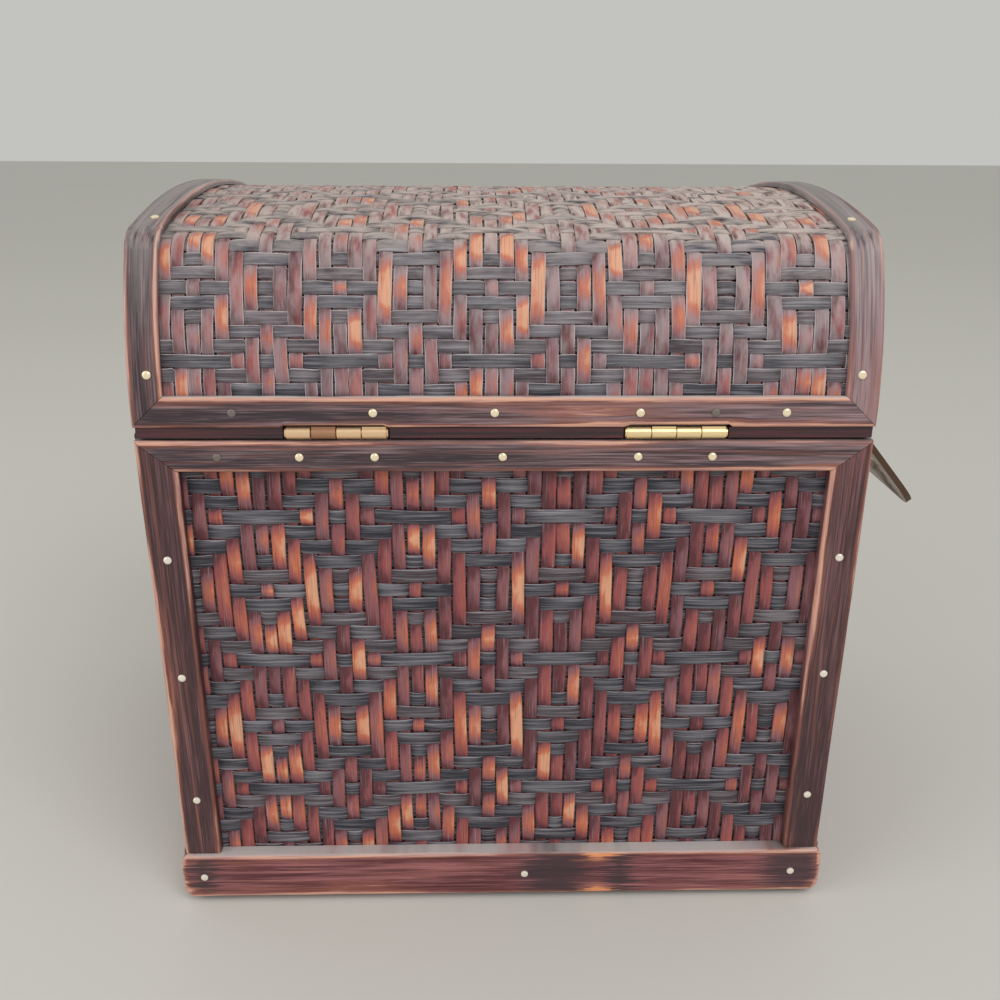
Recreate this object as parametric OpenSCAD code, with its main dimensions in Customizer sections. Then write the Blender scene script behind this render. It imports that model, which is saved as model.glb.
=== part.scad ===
// Woven bamboo chest with a loaf-shaped lid on two brass hinges.
// Origin at the centre of the base board's underside, +Z up, front towards -Y, hinges towards +Y.

/* [Box] */
// Width over the corner slats
body_w = 181.6; // [150:0.1:230]
// Depth over the corner slats
body_d = 150; // [120:1:190]
// Height of the body's rim above the table
rim_h = 139.4; // [110:0.1:180]
// Height of the lid from its own rim to the crest
lid_h = 56.3; // [50:0.1:62]
// Gap between the body's rim and the lid's rim
rim_gap = 0.6; // [0.4:0.1:1]

/* [Layers] */
// Thickness of the body's bamboo slats
slat_t = 3; // [2.8:0.1:4]
// Thickness of the lid's thinner bamboo slats
lid_slat_t = 1.5; // [1.3:0.1:2]
// Thickness of the woven sheet
weave_t = 1.6; // [1.2:0.1:2]
// Height of a broad rib of the weave, three strips
rib_pitch = 12.4; // [8:0.1:16]
// Depth of the line between two ribs
rib_cut = 0.6; // [0.3:0.1:0.9]
// Thickness of the wall boards and the lid's end boards
board_t = 4; // [3:0.1:6]
// Thickness of the base board
base_t = 6; // [4:0.5:9]
// Thickness of the lid's bent shell
shell_t = 3; // [2:0.1:4]

/* [Bamboo trim] */
// Width of a corner slat
post_w = 10; // [8:0.5:13]
// Height of the body's top rail
top_rail_h = 8; // [7:0.5:11]
// Height of the base rail
base_rail_h = 14.5; // [12:0.5:20]
// How far the base rail stands out past the corner slats
base_proud = 1.3; // [0.5:0.1:2.5]
// How far the base board reaches below the base rail
foot_drop = 2; // [1:0.5:4]
// Height of the lid's rail
lid_rail_h = 7.8; // [7.6:0.1:10]
// Height of the dark rim strip under the lid's rail
strip_h = 2.7; // [2.5:0.1:4]
// How far the rim strip lies back from the rail's face
strip_recess = 0.7; // [0.4:0.1:0.9]
// Width of the bent bands and arches at the lid's ends
band_w = 8.2; // [7:0.1:12]
// Bevel along the edges of every slat
slat_bevel = 0.6; // [0.2:0.1:1]
// Open line in a mitre
mitre_gap = 0.15; // [0.1:0.05:0.4]

/* [Lid arch] */
// Radius of the lid's nearly upright sides
side_r = 92; // [80:1:110]
// Radius of the lid's shoulders
shoulder_r = 10; // [9:0.5:13]
// Radius of the lid's crown
crown_r = 240; // [200:5:320]

/* [Hinges] */
// Distance of each hinge's middle from the centre line
hinge_x = 41.6; // [30:0.1:55]
// Length of a hinge's barrel, without the pin's heads
hinge_len = 24.6; // [20:0.1:30]
// Outside diameter of the knuckles
knuckle_d = 3; // [2.8:0.1:3.4]
// Diameter of the hinge pin
hinge_pin_d = 1.4; // [1.2:0.1:1.5]
// Thickness of a hinge leaf
leaf_t = 0.8; // [0.6:0.1:1]
// Height of a hinge leaf from the pin's axis
leaf_h = 8.8; // [8:0.1:9]
// Running clearance round a pin, on the radius
running_gap = 0.05; // [0.02:0.01:0.09]
// Clear space beside moving metal
side_gap = 0.3; // [0.2:0.05:0.5]

/* [Handles] */
// Width over a handle's arms
bail_span = 118; // [90:1:126]
// Drop of a handle from its pivot to its lower edge
bail_drop = 27.5; // [20:0.5:34]
// Width of the handle's flat strap
bail_strap = 8; // [6:0.5:10]
// Thickness of the handle's strap
bail_t = 1.6; // [1.2:0.1:2.4]
// Diameter of the handle's journals
journal_d = 2; // [1.6:0.1:2.4]
// Length of a journal in its eye
journal_len = 7; // [5:0.5:9]
// Height of the handle's pivot below the body's rim
pivot_drop = 3.5; // [3.2:0.1:4.4]
// Length of a handle's bracket plate along the rail
bracket_len = 14; // [13:0.5:18]
// Thickness of a bracket plate
bracket_t = 1.2; // [0.8:0.1:1.6]
// Outside diameter of a bracket's eye
eye_d = 4.8; // [4.4:0.1:5.6]
// How far the left handle stands out from hanging
left_swing = 40; // [0:1:90]
// How far the right handle stands out from hanging
right_swing = 0; // [0:1:90]

/* [Nails] */
// Diameter of a nail's head
nail_head_d = 2; // [1.6:0.1:2.6]
// Height of a nail's head
nail_head_h = 0.5; // [0.3:0.1:0.8]
// Diameter of a nail's shank
nail_d = 1; // [0.8:0.1:1.2]
// How deep a nail bites into the board or the shell
nail_bite = 2; // [1.5:0.1:2.4]

/* [Hidden] */
$fn = 32;

trim_colour = [0.27, 0.22, 0.23];
rail_colour = [0.45, 0.26, 0.25];
weave_colour = [0.42, 0.22, 0.2];
board_colour = [0.6, 0.45, 0.3];
brass_colour = [0.82, 0.68, 0.42];
aged_colour = [0.42, 0.36, 0.28];

// Layers, counted inwards from the slats' outer face
weave_in = slat_t + weave_t;
board_in = weave_in + board_t;
lid_weave_in = lid_slat_t + weave_t;
lid_board_in = lid_weave_in + board_t;
shell_in = lid_weave_in + shell_t;
// Half lengths of the faces, and their names
long_half = body_w / 2;
short_half = body_d / 2;
end_half = short_half - slat_t;
lid_end_half = short_half - lid_slat_t;
FRONT = "front";
RIGHT = "right";
BACK = "back";
LEFT = "left";
// Heights of the trim
base_rail_top = foot_drop + base_rail_h;
rail_low = rim_h - top_rail_h;
rail_mid = rim_h - top_rail_h / 2;
base_mid = foot_drop + base_rail_h / 2;
lid_rim = rim_h + rim_gap;
lid_rail_low = lid_rim + strip_h;
lid_rail_top = lid_rail_low + lid_rail_h;
lid_rail_mid = lid_rail_low + lid_rail_h / 2;
crest = lid_rim + lid_h;
// Ribs of the weave: the lines between them are as wide as they are deep, times four
rib_cut_w = 4 * rib_cut;
wall_ribs = floor((rail_low - base_rail_top) / rib_pitch);
// Hinge: the pin lies level with the slats' outer half, just above the rim
knuckle_r = knuckle_d / 2;
pin_z = rim_h + side_gap + knuckle_r;
pin_in = slat_t - knuckle_r;
knuckles = 4;
knuckle_pitch = hinge_len / knuckles;
barrel_half = (hinge_len - side_gap) / 2;
window_top = pin_z + knuckle_r + 2 * side_gap;
pin_head_h = 0.4;
pin_head_in = 0.3;
pin_head_d = knuckle_d - 2 * pin_head_in;
hinge_nail_x = 9.2;
// Handle: the pivot stands off the rail by the plate and the eye
eye_sink = 0.2;
pivot_out = bracket_t + eye_d / 2 - eye_sink;
pivot_z = rim_h - pivot_drop;
boss_d = 3.4;
bail_round = 9;
arm_in = bail_span / 2 - bail_strap;
bracket_end = arm_in - side_gap;
eye_len = journal_len - 2 * side_gap;
plate_edge = 0.5;
bracket_nail_in = 3.5;
bracket_nail_x = arm_in - bracket_len + bracket_nail_in;
nail_gap = 0.03;
nail_depth = weave_in + nail_bite;
lid_nail_depth = lid_weave_in + nail_bite;
// Drop of a mitred end that leaves the open line
mitre_drop = mitre_gap * sqrt(2);
// Overshoot of a cutting shape
over = 1;

// Nail places as seen from outside a face: across from its middle, and height or distance along the slat
hinge_nails = [for (side = [-1, 1], at = [-1, 1]) side * hinge_x + at * hinge_nail_x];
back_rail_nails = concat([-0.78 * long_half, -1], hinge_nails);
front_rail_nails = [-0.76, -0.38, 0, 0.39, 0.77] * long_half;
end_rail_nails = [-0.25, 0.25] * end_half;
lid_back_nails = concat([-0.73 * long_half, -3, 0.75 * long_half], [for (i = [1:3]) hinge_nails[i]]);
lid_front_nails = [-0.74, -0.39, 0.02, 0.38, 0.73] * long_half;
lid_end_nails = [-0.56, 0, 0.57] * lid_end_half;
base_nail_x = 6;
base_nail_shift = 2.5;
post_nail_heights = [0.25, 0.53, 0.775] * rim_h;
long_nail_in = 5;
end_nail_in = 6.2;
band_nail_lift = 13;
band_crown_turn = 13;
arch_nails = [-0.61, 0, 0.61] * short_half;
arch_nail_in = lid_slat_t + 0.7 * band_w;

function face_angle(face) = face == RIGHT ? 90 : face == BACK ? 180 : face == LEFT ? 270 : 0;
function face_half(face) = face == FRONT || face == BACK ? short_half : long_half;
function lid_half_len(face) = face == FRONT || face == BACK ? long_half : lid_end_half;
function half_len(face) = face == FRONT || face == BACK ? long_half : end_half;
function top_nails(face) = face == BACK ? back_rail_nails : face == FRONT ? front_rail_nails : end_rail_nails;
function lid_rail_nails(face) =
    face == BACK ? lid_back_nails : face == FRONT ? lid_front_nails : lid_end_nails;
function post_in(face) = face == FRONT || face == BACK ? long_nail_in : end_nail_in;
function foot_nails(face) =
    let (end = half_len(face) - post_in(face))
    [-end, face == FRONT || face == BACK ? base_nail_x : 0, end - (face == BACK ? base_nail_shift : 0)];
function post_nails(face, side) = [for (z = post_nail_heights) [side * (half_len(face) - post_in(face)), z]];

// Points of the lid's arch in the (Y, Z) plane, in by a distance from the slats' outer face
side_c = [short_half - side_r, lid_rail_low];
crown_c = [0, crest - crown_r];
tight_r = 1.5;
function corner_r(in) = max(shoulder_r - in, tight_r);
function corner_c(in) =
    let (a = side_r - in - corner_r(in), b = crown_r - in - corner_r(in), d = norm(crown_c - side_c),
        way = (crown_c - side_c) / d, along = (a ^ 2 - b ^ 2 + d ^ 2) / (2 * d))
    side_c + way * along + [-way[1], way[0]] * sqrt(a ^ 2 - along ^ 2);
function turn_to(from, to) = atan2(to[1] - from[1], to[0] - from[0]);

function arc(c, r, from, to, steps) =
    [for (i = [0:steps]) let (a = from + (to - from) * i / steps) c + r * [cos(a), sin(a)]];
function half_arch(in) =
    let (c = corner_c(in), low_turn = turn_to(side_c, c), high_turn = turn_to(crown_c, c)) concat(
        arc(side_c, side_r - in, 0, low_turn, 5),
        arc(c, corner_r(in), low_turn, high_turn, 8),
        arc(crown_c, crown_r - in, high_turn, 90, 8));
function flip(points) = [for (i = [len(points) - 2:-1:0]) [-points[i][0], points[i][1]]];
function arch(in, low) = let (half = half_arch(in)) concat(
    [[short_half - in, low]], half, flip(half), [[-(short_half - in), low]]);

// Turns a piece drawn on the front face, seen from outside, to another face
module on_face(face) {
    rotate([0, 0, face_angle(face)]) translate([0, -face_half(face), 0]) children();
}

// A slat's section with bevelled outer edges, run along X, cut to an outline drawn in X and Z
module slat(outline, low, high, out, in, length) {
    intersection() {
        translate([-length / 2, 0, 0]) rotate([90, 0, 90]) linear_extrude(length) polygon([
            [in, low], [in, high], [out + slat_bevel, high], [out, high - slat_bevel],
            [out, low + slat_bevel], [out + slat_bevel, low]]);
        rotate([90, 0, 0]) linear_extrude(4 * over + 2 * (slat_t + base_proud), center = true)
            polygon(outline);
    }
}

module nail(length) {
    rotate([90, 0, 0]) {
        cylinder(h = nail_head_h * 0.6, d = nail_head_d);
        translate([0, 0, nail_head_h * 0.6])
            cylinder(h = nail_head_h * 0.4, d1 = nail_head_d, d2 = nail_head_d * 0.6);
        translate([0, 0, -length]) cylinder(h = length, d = nail_d);
    }
}

module nail_bore(x, z, depth = nail_depth) {
    translate([x, -over - base_proud, z]) rotate([-90, 0, 0])
        cylinder(h = depth + over + base_proud + nail_gap, d = nail_d + 2 * nail_gap);
}

module top_bores(face) for (x = top_nails(face)) nail_bore(x, rail_mid);
module foot_bores(face) for (x = foot_nails(face)) nail_bore(x, base_mid);
module post_bores(face) for (side = [-1, 1], p = post_nails(face, side)) nail_bore(p[0], p[1]);
module lid_rail_bores(face) for (x = lid_rail_nails(face)) nail_bore(x, lid_rail_mid, lid_nail_depth);
module bracket_bores(face) if (face == LEFT || face == RIGHT)
    for (side = [-1, 1]) nail_bore(side * bracket_nail_x, rail_mid);
module body_bores(face) {
    top_bores(face);
    foot_bores(face);
    post_bores(face);
    bracket_bores(face);
}

module block(x, y0, y1, z0, z1) translate([-x, y0, z0]) cube([2 * x, y1 - y0, z1 - z0]);

// Body
module base_board() color(board_colour)
    block(long_half - weave_in, -short_half + weave_in, short_half - weave_in, 0, base_t);

module wall_board(face) color(board_colour) on_face(face) difference() {
    half = face == FRONT || face == BACK ? long_half - weave_in : short_half - board_in;
    block(half, weave_in, board_in, base_t, rim_h);
    body_bores(face);
}

// The section of a shallow line between two ribs, open towards +X
module rib_line() polygon([[rib_cut, -rib_cut_w], [-rib_cut, 0], [rib_cut, rib_cut_w]]);

module wall_weave(face) color(weave_colour) on_face(face) difference() {
    half = face == FRONT || face == BACK ? long_half - slat_t : short_half - nail_depth - mitre_gap;
    block(half, slat_t, weave_in, foot_drop, rim_h);
    for (i = [1:wall_ribs]) translate([-half - over, slat_t, base_rail_top + (i - 0.5) * rib_pitch])
        rotate([90, 0, 90]) linear_extrude(2 * (half + over)) mirror([1, 0]) rib_line();
    body_bores(face);
}

module top_rail(face) color(trim_colour) on_face(face) difference() {
    half = half_len(face);
    slat([[-half, rim_h], [half, rim_h], [half - post_w, rail_low], [-half + post_w, rail_low]],
        rail_low, rim_h, 0, slat_t, 2 * half + over);
    top_bores(face);
    bracket_bores(face);
    if (face == BACK) for (side = [-1, 1]) leaf_seat(side, slat_t, pin_z - leaf_h - mitre_gap, rim_h + over);
}

// The shallow seat behind a rail that takes a hinge leaf
module leaf_seat(side, thickness, low, high) {
    width = hinge_len + 2 * mitre_gap;
    translate([side * hinge_x - width / 2, thickness - leaf_t, low]) cube([width, leaf_t + over, high - low]);
}

module corner_slat(face, side) color(trim_colour) on_face(face) difference() {
    half = half_len(face);
    outer = side * half;
    inner = side * (half - post_w);
    top = rim_h - mitre_drop;
    intersection() {
        translate([outer, 0, base_rail_top]) linear_extrude(rim_h - base_rail_top) polygon([
            [0, slat_t], [0, slat_bevel], [-side * slat_bevel, 0],
            [-side * (post_w - slat_bevel), 0], [-side * post_w, slat_bevel], [-side * post_w, slat_t]]);
        rotate([90, 0, 0]) linear_extrude(4 * slat_t, center = true) polygon([
            [outer, base_rail_top], [outer, top], [inner, top - top_rail_h], [inner, base_rail_top]]);
    }
    post_bores(face);
}

module base_rail(face) color(rail_colour) on_face(face) difference() {
    half = face == FRONT || face == BACK ? long_half + base_proud : end_half;
    slat([[-half, foot_drop], [half, foot_drop], [half, base_rail_top], [-half, base_rail_top]],
        foot_drop, base_rail_top, -base_proud, slat_t, 2 * half + over);
    foot_bores(face);
}

module body_nails() color(brass_colour) for (face = [FRONT, RIGHT, BACK, LEFT]) on_face(face) {
    for (x = top_nails(face)) translate([x, 0, rail_mid]) nail(nail_depth);
    for (side = [-1, 1], p = post_nails(face, side)) translate([p[0], 0, p[1]]) nail(nail_depth);
    for (x = foot_nails(face)) translate([x, -base_proud, base_mid]) nail(nail_depth + base_proud);
    if (face == LEFT || face == RIGHT) for (side = [-1, 1])
        translate([side * bracket_nail_x, -bracket_t, rail_mid]) nail(nail_depth + bracket_t);
}

// Lid
module along_x(x0, x1) translate([x0, 0, 0]) rotate([90, 0, 90]) linear_extrude(x1 - x0) children();

module arch_ring(out, in) difference() {
    polygon(arch(out, lid_rim));
    polygon(arch(in, lid_rim - over));
}

// Places a child on the lid's arch, facing outwards, where the crown or the side is turned by an angle
module on_crown(turn) translate([0, crown_c[0], crown_c[1]]) rotate([-turn, 0, 0])
    translate([0, 0, crown_r]) rotate([-90, 0, 0]) children();
module on_side(side, lift) {
    turn = asin((lift - side_c[1]) / side_r);
    translate([0, side * (side_c[0] + side_r * cos(turn)), lift]) rotate([0, 0, side > 0 ? 180 : 0])
        rotate([-turn, 0, 0]) children();
}

module band_nail_places(x) {
    for (side = [-1, 1]) on_side(side, lid_rail_low + band_nail_lift)
        translate([side > 0 ? -x : x, 0, 0]) children();
    for (turn = [-1, 1]) on_crown(turn * band_crown_turn) translate([x, 0, 0]) children();
}

module lid_bores() {
    for (face = [FRONT, BACK]) on_face(face) lid_rail_bores(face);
    for (side = [-1, 1]) band_nail_places(side * (long_half - long_nail_in)) nail_bore(0, 0, lid_nail_depth);
}

module lid_shell() color(board_colour) difference() {
    along_x(-long_half + lid_weave_in, long_half - lid_weave_in) arch_ring(lid_weave_in, shell_in);
    lid_bores();
    for (face = [LEFT, RIGHT]) arch_nail_places(face) nail_bore(0, 0, lid_nail_depth);
    on_face(BACK) hinge_windows();
}

module lid_end_board(face) color(board_colour) difference() {
    x0 = long_half - lid_board_in;
    mirror([face == LEFT ? 1 : 0, 0, 0]) along_x(x0, x0 + board_t) polygon(arch(shell_in, lid_rim));
    lid_end_bores(face);
}

// Places a rib line on an arc of the lid's section, a number of ribs from its start
module on_arc(c, r, start, ribs) {
    turn = start + ribs * rib_pitch / r * 180 / PI;
    translate(c) rotate(turn) translate([r, 0]) children();
}

module lid_ribs() {
    corner = corner_c(lid_slat_t);
    side_reach = side_r - lid_slat_t;
    crown_reach = crown_r - lid_slat_t;
    side_ribs = floor(turn_to(side_c, corner) * PI / 180 * side_reach / rib_pitch);
    crown_ribs = floor((90 - turn_to(crown_c, corner)) * PI / 180 * crown_reach / rib_pitch);
    for (i = [1:side_ribs], side = [0, 1]) mirror([side, 0]) on_arc(side_c, side_reach, 0, i) rib_line();
    for (i = [-crown_ribs:crown_ribs]) on_arc(crown_c, crown_reach, 90, i) rib_line();
}

module lid_weave() color(weave_colour) difference() {
    along_x(-long_half + lid_slat_t, long_half - lid_slat_t) difference() {
        arch_ring(lid_slat_t, lid_weave_in);
        lid_ribs();
    }
    lid_bores();
    on_face(BACK) hinge_windows();
}

module lid_end_weave(face) color(weave_colour) difference() {
    x0 = long_half - lid_weave_in;
    mirror([face == LEFT ? 1 : 0, 0, 0]) along_x(x0, x0 + weave_t) polygon(arch(lid_weave_in, lid_rim));
    lid_end_bores(face);
}

module arch_nail_places(face) on_face(face) for (x = arch_nails)
    translate([x, 0, crown_c[1] + sqrt((crown_r - arch_nail_in) ^ 2 - x ^ 2)]) children();

module lid_end_bores(face) {
    on_face(face) lid_rail_bores(face);
    arch_nail_places(face) nail_bore(0, 0, lid_nail_depth);
}

module lid_rail(face) color(trim_colour) on_face(face) difference() {
    half = lid_half_len(face);
    slat([[-half, lid_rail_low], [half, lid_rail_low],
        [half - band_w, lid_rail_top], [-half + band_w, lid_rail_top]],
        lid_rail_low, lid_rail_top, 0, lid_slat_t, 2 * half + over);
    lid_rail_bores(face);
    if (face == BACK) {
        for (side = [-1, 1]) leaf_seat(side, lid_slat_t, lid_rail_low - over, pin_z + leaf_h + mitre_gap);
        hinge_windows();
    }
}

// Openings in the lid's rim that clear the hinges' knuckles, drawn on the back face
module hinge_windows() for (side = [-1, 1]) {
    width = hinge_len + 2 * (pin_head_h + side_gap);
    translate([side * hinge_x - width / 2, -over, lid_rim - over])
        cube([width, slat_t + 2 * side_gap + over, window_top - lid_rim + over]);
}

module lid_strip(face) color(trim_colour) on_face(face) difference() {
    half = face == FRONT || face == BACK ? long_half - strip_recess : lid_end_half;
    block(half, strip_recess, lid_slat_t, lid_rim, lid_rail_low);
    if (face == BACK) hinge_windows();
}

// Cuts the lower ends of a bent band or arch to the rail's mitre
module mitre_cut(half) rotate([90, 0, 0]) linear_extrude(2 * body_d, center = true) {
    inner = half - band_w - over;
    rise = over * lid_rail_h / band_w;
    polygon([[half + over, lid_rim - over], [half + over, lid_rail_low - rise + mitre_drop],
        [inner, lid_rail_top + rise + mitre_drop], [inner, lid_rim - over]]);
}

module lid_band(face) color(trim_colour) mirror([face == LEFT ? 1 : 0, 0, 0]) difference() {
    along_x(long_half - band_w, long_half) arch_ring(0, lid_slat_t);
    mitre_cut(long_half);
    band_nail_places(long_half - long_nail_in) nail_bore(0, 0, lid_nail_depth);
}

module lid_arch(face) color(trim_colour) difference() {
    mirror([face == LEFT ? 1 : 0, 0, 0]) difference() {
        along_x(long_half - lid_slat_t, long_half) arch_ring(lid_slat_t, lid_slat_t + band_w);
        for (side = [0, 1]) mirror([0, side, 0]) rotate([0, 0, 90]) mitre_cut(lid_end_half);
    }
    arch_nail_places(face) nail_bore(0, 0, lid_nail_depth);
}

module lid_nails() color(brass_colour) {
    for (face = [FRONT, RIGHT, BACK, LEFT]) on_face(face)
        for (x = lid_rail_nails(face)) translate([x, 0, lid_rail_mid]) nail(lid_nail_depth);
    for (face = [LEFT, RIGHT]) arch_nail_places(face) nail(lid_nail_depth);
    for (side = [-1, 1]) band_nail_places(side * (long_half - long_nail_in)) nail(lid_nail_depth);
}

// Hinges, drawn on the back face
function knuckle_x(k) = (k - knuckles / 2) * knuckle_pitch;

module hinge_tube(x0, x1, d) translate([x0, pin_in, pin_z]) rotate([0, 90, 0]) cylinder(h = x1 - x0, d = d);

module hinge_leaf(side, up) color(brass_colour) on_face(BACK) translate([side * hinge_x, 0, 0]) difference() {
    own = up ? 1 : 0;
    union() {
        difference() {
            translate([-barrel_half, (up ? lid_slat_t : slat_t) - leaf_t, up ? pin_z : pin_z - leaf_h])
                cube([2 * barrel_half, leaf_t, leaf_h]);
            for (k = [1 - own:2:knuckles - 1])
                translate([knuckle_x(k) - side_gap / 2, 0, pin_z - knuckle_r - side_gap])
                    cube([knuckle_pitch + side_gap, slat_t + over, knuckle_d + 2 * side_gap]);
        }
        for (k = [own:2:knuckles - 1])
            hinge_tube(knuckle_x(k) + side_gap / 2, knuckle_x(k + 1) - side_gap / 2, knuckle_d);
    }
    hinge_tube(-hinge_len, hinge_len, hinge_pin_d + 2 * running_gap);
    for (x = [-hinge_nail_x, hinge_nail_x]) nail_bore(x, up ? lid_rail_mid : rail_mid, nail_depth);
}

module hinge_pin(side) color(brass_colour) on_face(BACK) translate([side * hinge_x, 0, 0]) {
    free_end = barrel_half + running_gap;
    hinge_tube(-barrel_half, free_end, hinge_pin_d);
    hinge_tube(-barrel_half - pin_head_h, -barrel_half, pin_head_d);
    hinge_tube(free_end, free_end + pin_head_h, pin_head_d);
}

// Handles, drawn hanging on an end face and swung out about their pivot
module bail_outline() {
    outer = bail_span / 2;
    low = -bail_drop;
    inner_round = bail_round - bail_strap > 1 ? bail_round - bail_strap : 1;
    difference() {
        polygon(concat([[outer, 0]], arc([outer - bail_round, low + bail_round], bail_round, 0, -90, 6),
            arc([-outer + bail_round, low + bail_round], bail_round, -90, -180, 6), [[-outer, 0]]));
        polygon(concat([[arm_in, over]],
            arc([arm_in - inner_round, low + bail_strap + inner_round], inner_round, 0, -90, 4),
            arc([-arm_in + inner_round, low + bail_strap + inner_round], inner_round, -90, -180, 4),
            [[-arm_in, over]]));
    }
}

module pivot_rod(x0, x1, d) translate([x0, 0, 0]) rotate([0, 90, 0]) cylinder(h = x1 - x0, d = d);

module handle(face, swing) color(aged_colour) on_face(face) translate([0, -pivot_out, pivot_z])
    rotate([-swing, 0, 0]) {
        rotate([90, 0, 0]) linear_extrude(bail_t, center = true) bail_outline();
        for (side = [0, 1]) mirror([side, 0, 0]) {
            pivot_rod(arm_in, arm_in + bail_strap, boss_d);
            pivot_rod(arm_in - journal_len, arm_in + over, journal_d);
        }
    }

module handle_bracket() difference() {
    union() {
        translate([bracket_end - bracket_len, -bracket_t, rail_low + plate_edge])
            cube([bracket_len, bracket_t, top_rail_h - 2 * plate_edge]);
        translate([0, -pivot_out, pivot_z]) pivot_rod(bracket_end - eye_len, bracket_end, eye_d);
    }
    translate([0, -pivot_out, pivot_z])
        pivot_rod(bracket_end - bracket_len, arm_in, journal_d + 2 * running_gap);
    nail_bore(bracket_nail_x, rail_mid);
}

module handle_brackets(face) color(aged_colour) on_face(face)
    for (side = [0, 1]) mirror([side, 0, 0]) handle_bracket();

base_board();
wall_board(BACK);  // back_board
wall_board(FRONT);  // front_board
wall_board(LEFT);  // left_board
wall_board(RIGHT);  // right_board
wall_weave(BACK);  // back_weave
wall_weave(FRONT);  // front_weave
wall_weave(LEFT);  // left_weave
wall_weave(RIGHT);  // right_weave
top_rail(BACK);  // back_top_rail
top_rail(FRONT);  // front_top_rail
top_rail(LEFT);  // left_top_rail
top_rail(RIGHT);  // right_top_rail
base_rail(BACK);  // back_base_rail
base_rail(FRONT);  // front_base_rail
base_rail(LEFT);  // left_base_rail
base_rail(RIGHT);  // right_base_rail
corner_slat(BACK, 1);  // back_left_slat
corner_slat(BACK, -1);  // back_right_slat
corner_slat(FRONT, -1);  // front_left_slat
corner_slat(FRONT, 1);  // front_right_slat
corner_slat(LEFT, -1);  // left_back_slat
corner_slat(LEFT, 1);  // left_front_slat
corner_slat(RIGHT, 1);  // right_back_slat
corner_slat(RIGHT, -1);  // right_front_slat
body_nails();
lid_shell();
lid_end_board(LEFT);  // lid_left_board
lid_end_board(RIGHT);  // lid_right_board
lid_weave();
lid_end_weave(LEFT);  // lid_left_weave
lid_end_weave(RIGHT);  // lid_right_weave
lid_rail(BACK);  // lid_back_rail
lid_rail(FRONT);  // lid_front_rail
lid_rail(LEFT);  // lid_left_rail
lid_rail(RIGHT);  // lid_right_rail
lid_strip(BACK);  // lid_back_strip
lid_strip(FRONT);  // lid_front_strip
lid_strip(LEFT);  // lid_left_strip
lid_strip(RIGHT);  // lid_right_strip
lid_band(LEFT);  // lid_left_band
lid_band(RIGHT);  // lid_right_band
lid_arch(LEFT);  // lid_left_arch
lid_arch(RIGHT);  // lid_right_arch
lid_nails();
hinge_leaf(1, false);  // left_hinge_body_leaf
hinge_leaf(1, true);  // left_hinge_lid_leaf
hinge_pin(1);  // left_hinge_pin
hinge_leaf(-1, false);  // right_hinge_body_leaf
hinge_leaf(-1, true);  // right_hinge_lid_leaf
hinge_pin(-1);  // right_hinge_pin
handle(LEFT, left_swing);  // left_handle
handle(RIGHT, right_swing);  // right_handle
handle_brackets(LEFT);  // left_handle_brackets
handle_brackets(RIGHT);  // right_handle_brackets
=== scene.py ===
"""Looks of a small woven bamboo chest: plaited panels, pinned slats and brass fittings."""

import collections.abc
import dataclasses
import functools
import math
import random

import bmesh
import bpy
from mathutils import Matrix, Vector


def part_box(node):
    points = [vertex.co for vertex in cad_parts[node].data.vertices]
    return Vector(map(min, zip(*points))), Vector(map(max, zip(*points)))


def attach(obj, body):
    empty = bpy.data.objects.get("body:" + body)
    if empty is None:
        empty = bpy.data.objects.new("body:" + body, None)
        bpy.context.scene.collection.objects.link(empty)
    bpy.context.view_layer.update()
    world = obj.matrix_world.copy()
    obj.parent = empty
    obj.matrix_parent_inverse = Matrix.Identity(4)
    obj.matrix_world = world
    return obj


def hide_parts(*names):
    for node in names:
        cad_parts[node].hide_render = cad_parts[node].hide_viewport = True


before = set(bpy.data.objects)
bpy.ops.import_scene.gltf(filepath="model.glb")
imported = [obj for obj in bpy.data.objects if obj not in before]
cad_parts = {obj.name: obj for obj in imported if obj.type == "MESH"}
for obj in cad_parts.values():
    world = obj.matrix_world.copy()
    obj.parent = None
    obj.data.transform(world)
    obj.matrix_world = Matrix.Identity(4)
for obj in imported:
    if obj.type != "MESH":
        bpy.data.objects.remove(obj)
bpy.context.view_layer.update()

bl_info = {
    "name": "Woven bamboo chest",
    "version": (1, 0, 0),
    "blender": (4, 5, 0),
    "location": "View3D > Sidebar > Chest",
    "description": "Dresses a small chest with plaited bamboo, pinned slats and brass",
    "category": "Object",
}

MM = 0.001
UP = Vector((0, 0, 1))


def width_of(node):
    """A solid's size along X."""
    low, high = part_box(node)
    return high.x - low.x


# Sizes that the solids give
HALF_X, HALF_Y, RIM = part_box("back_top_rail")[1]
_, TOP_RAIL_INSIDE, TOP_RAIL_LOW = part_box("back_top_rail")[0]
END_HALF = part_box("left_top_rail")[1].y
BASE_HALF_X, _, BASE_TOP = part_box("back_base_rail")[1]
BASE_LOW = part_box("back_base_rail")[0].z
BASE_PROUD = BASE_HALF_X - HALF_X
LID_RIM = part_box("lid_shell")[0].z
_, LID_RAIL_INSIDE, LID_RAIL_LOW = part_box("lid_back_rail")[0]
LID_RAIL_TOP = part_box("lid_back_rail")[1].z
LID_END_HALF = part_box("lid_left_rail")[1].y
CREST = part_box("lid_left_band")[1].z
POST_W = width_of("back_left_slat")
BAND_W = width_of("lid_left_band")
WEAVE_T = width_of("left_weave")
SLAT_T = HALF_Y - TOP_RAIL_INSIDE
LID_SLAT_T = HALF_Y - LID_RAIL_INSIDE
BARREL_WALL = 0.55 * MM
BARREL_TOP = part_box("left_hinge_pin")[1].z + BARREL_WALL

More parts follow.
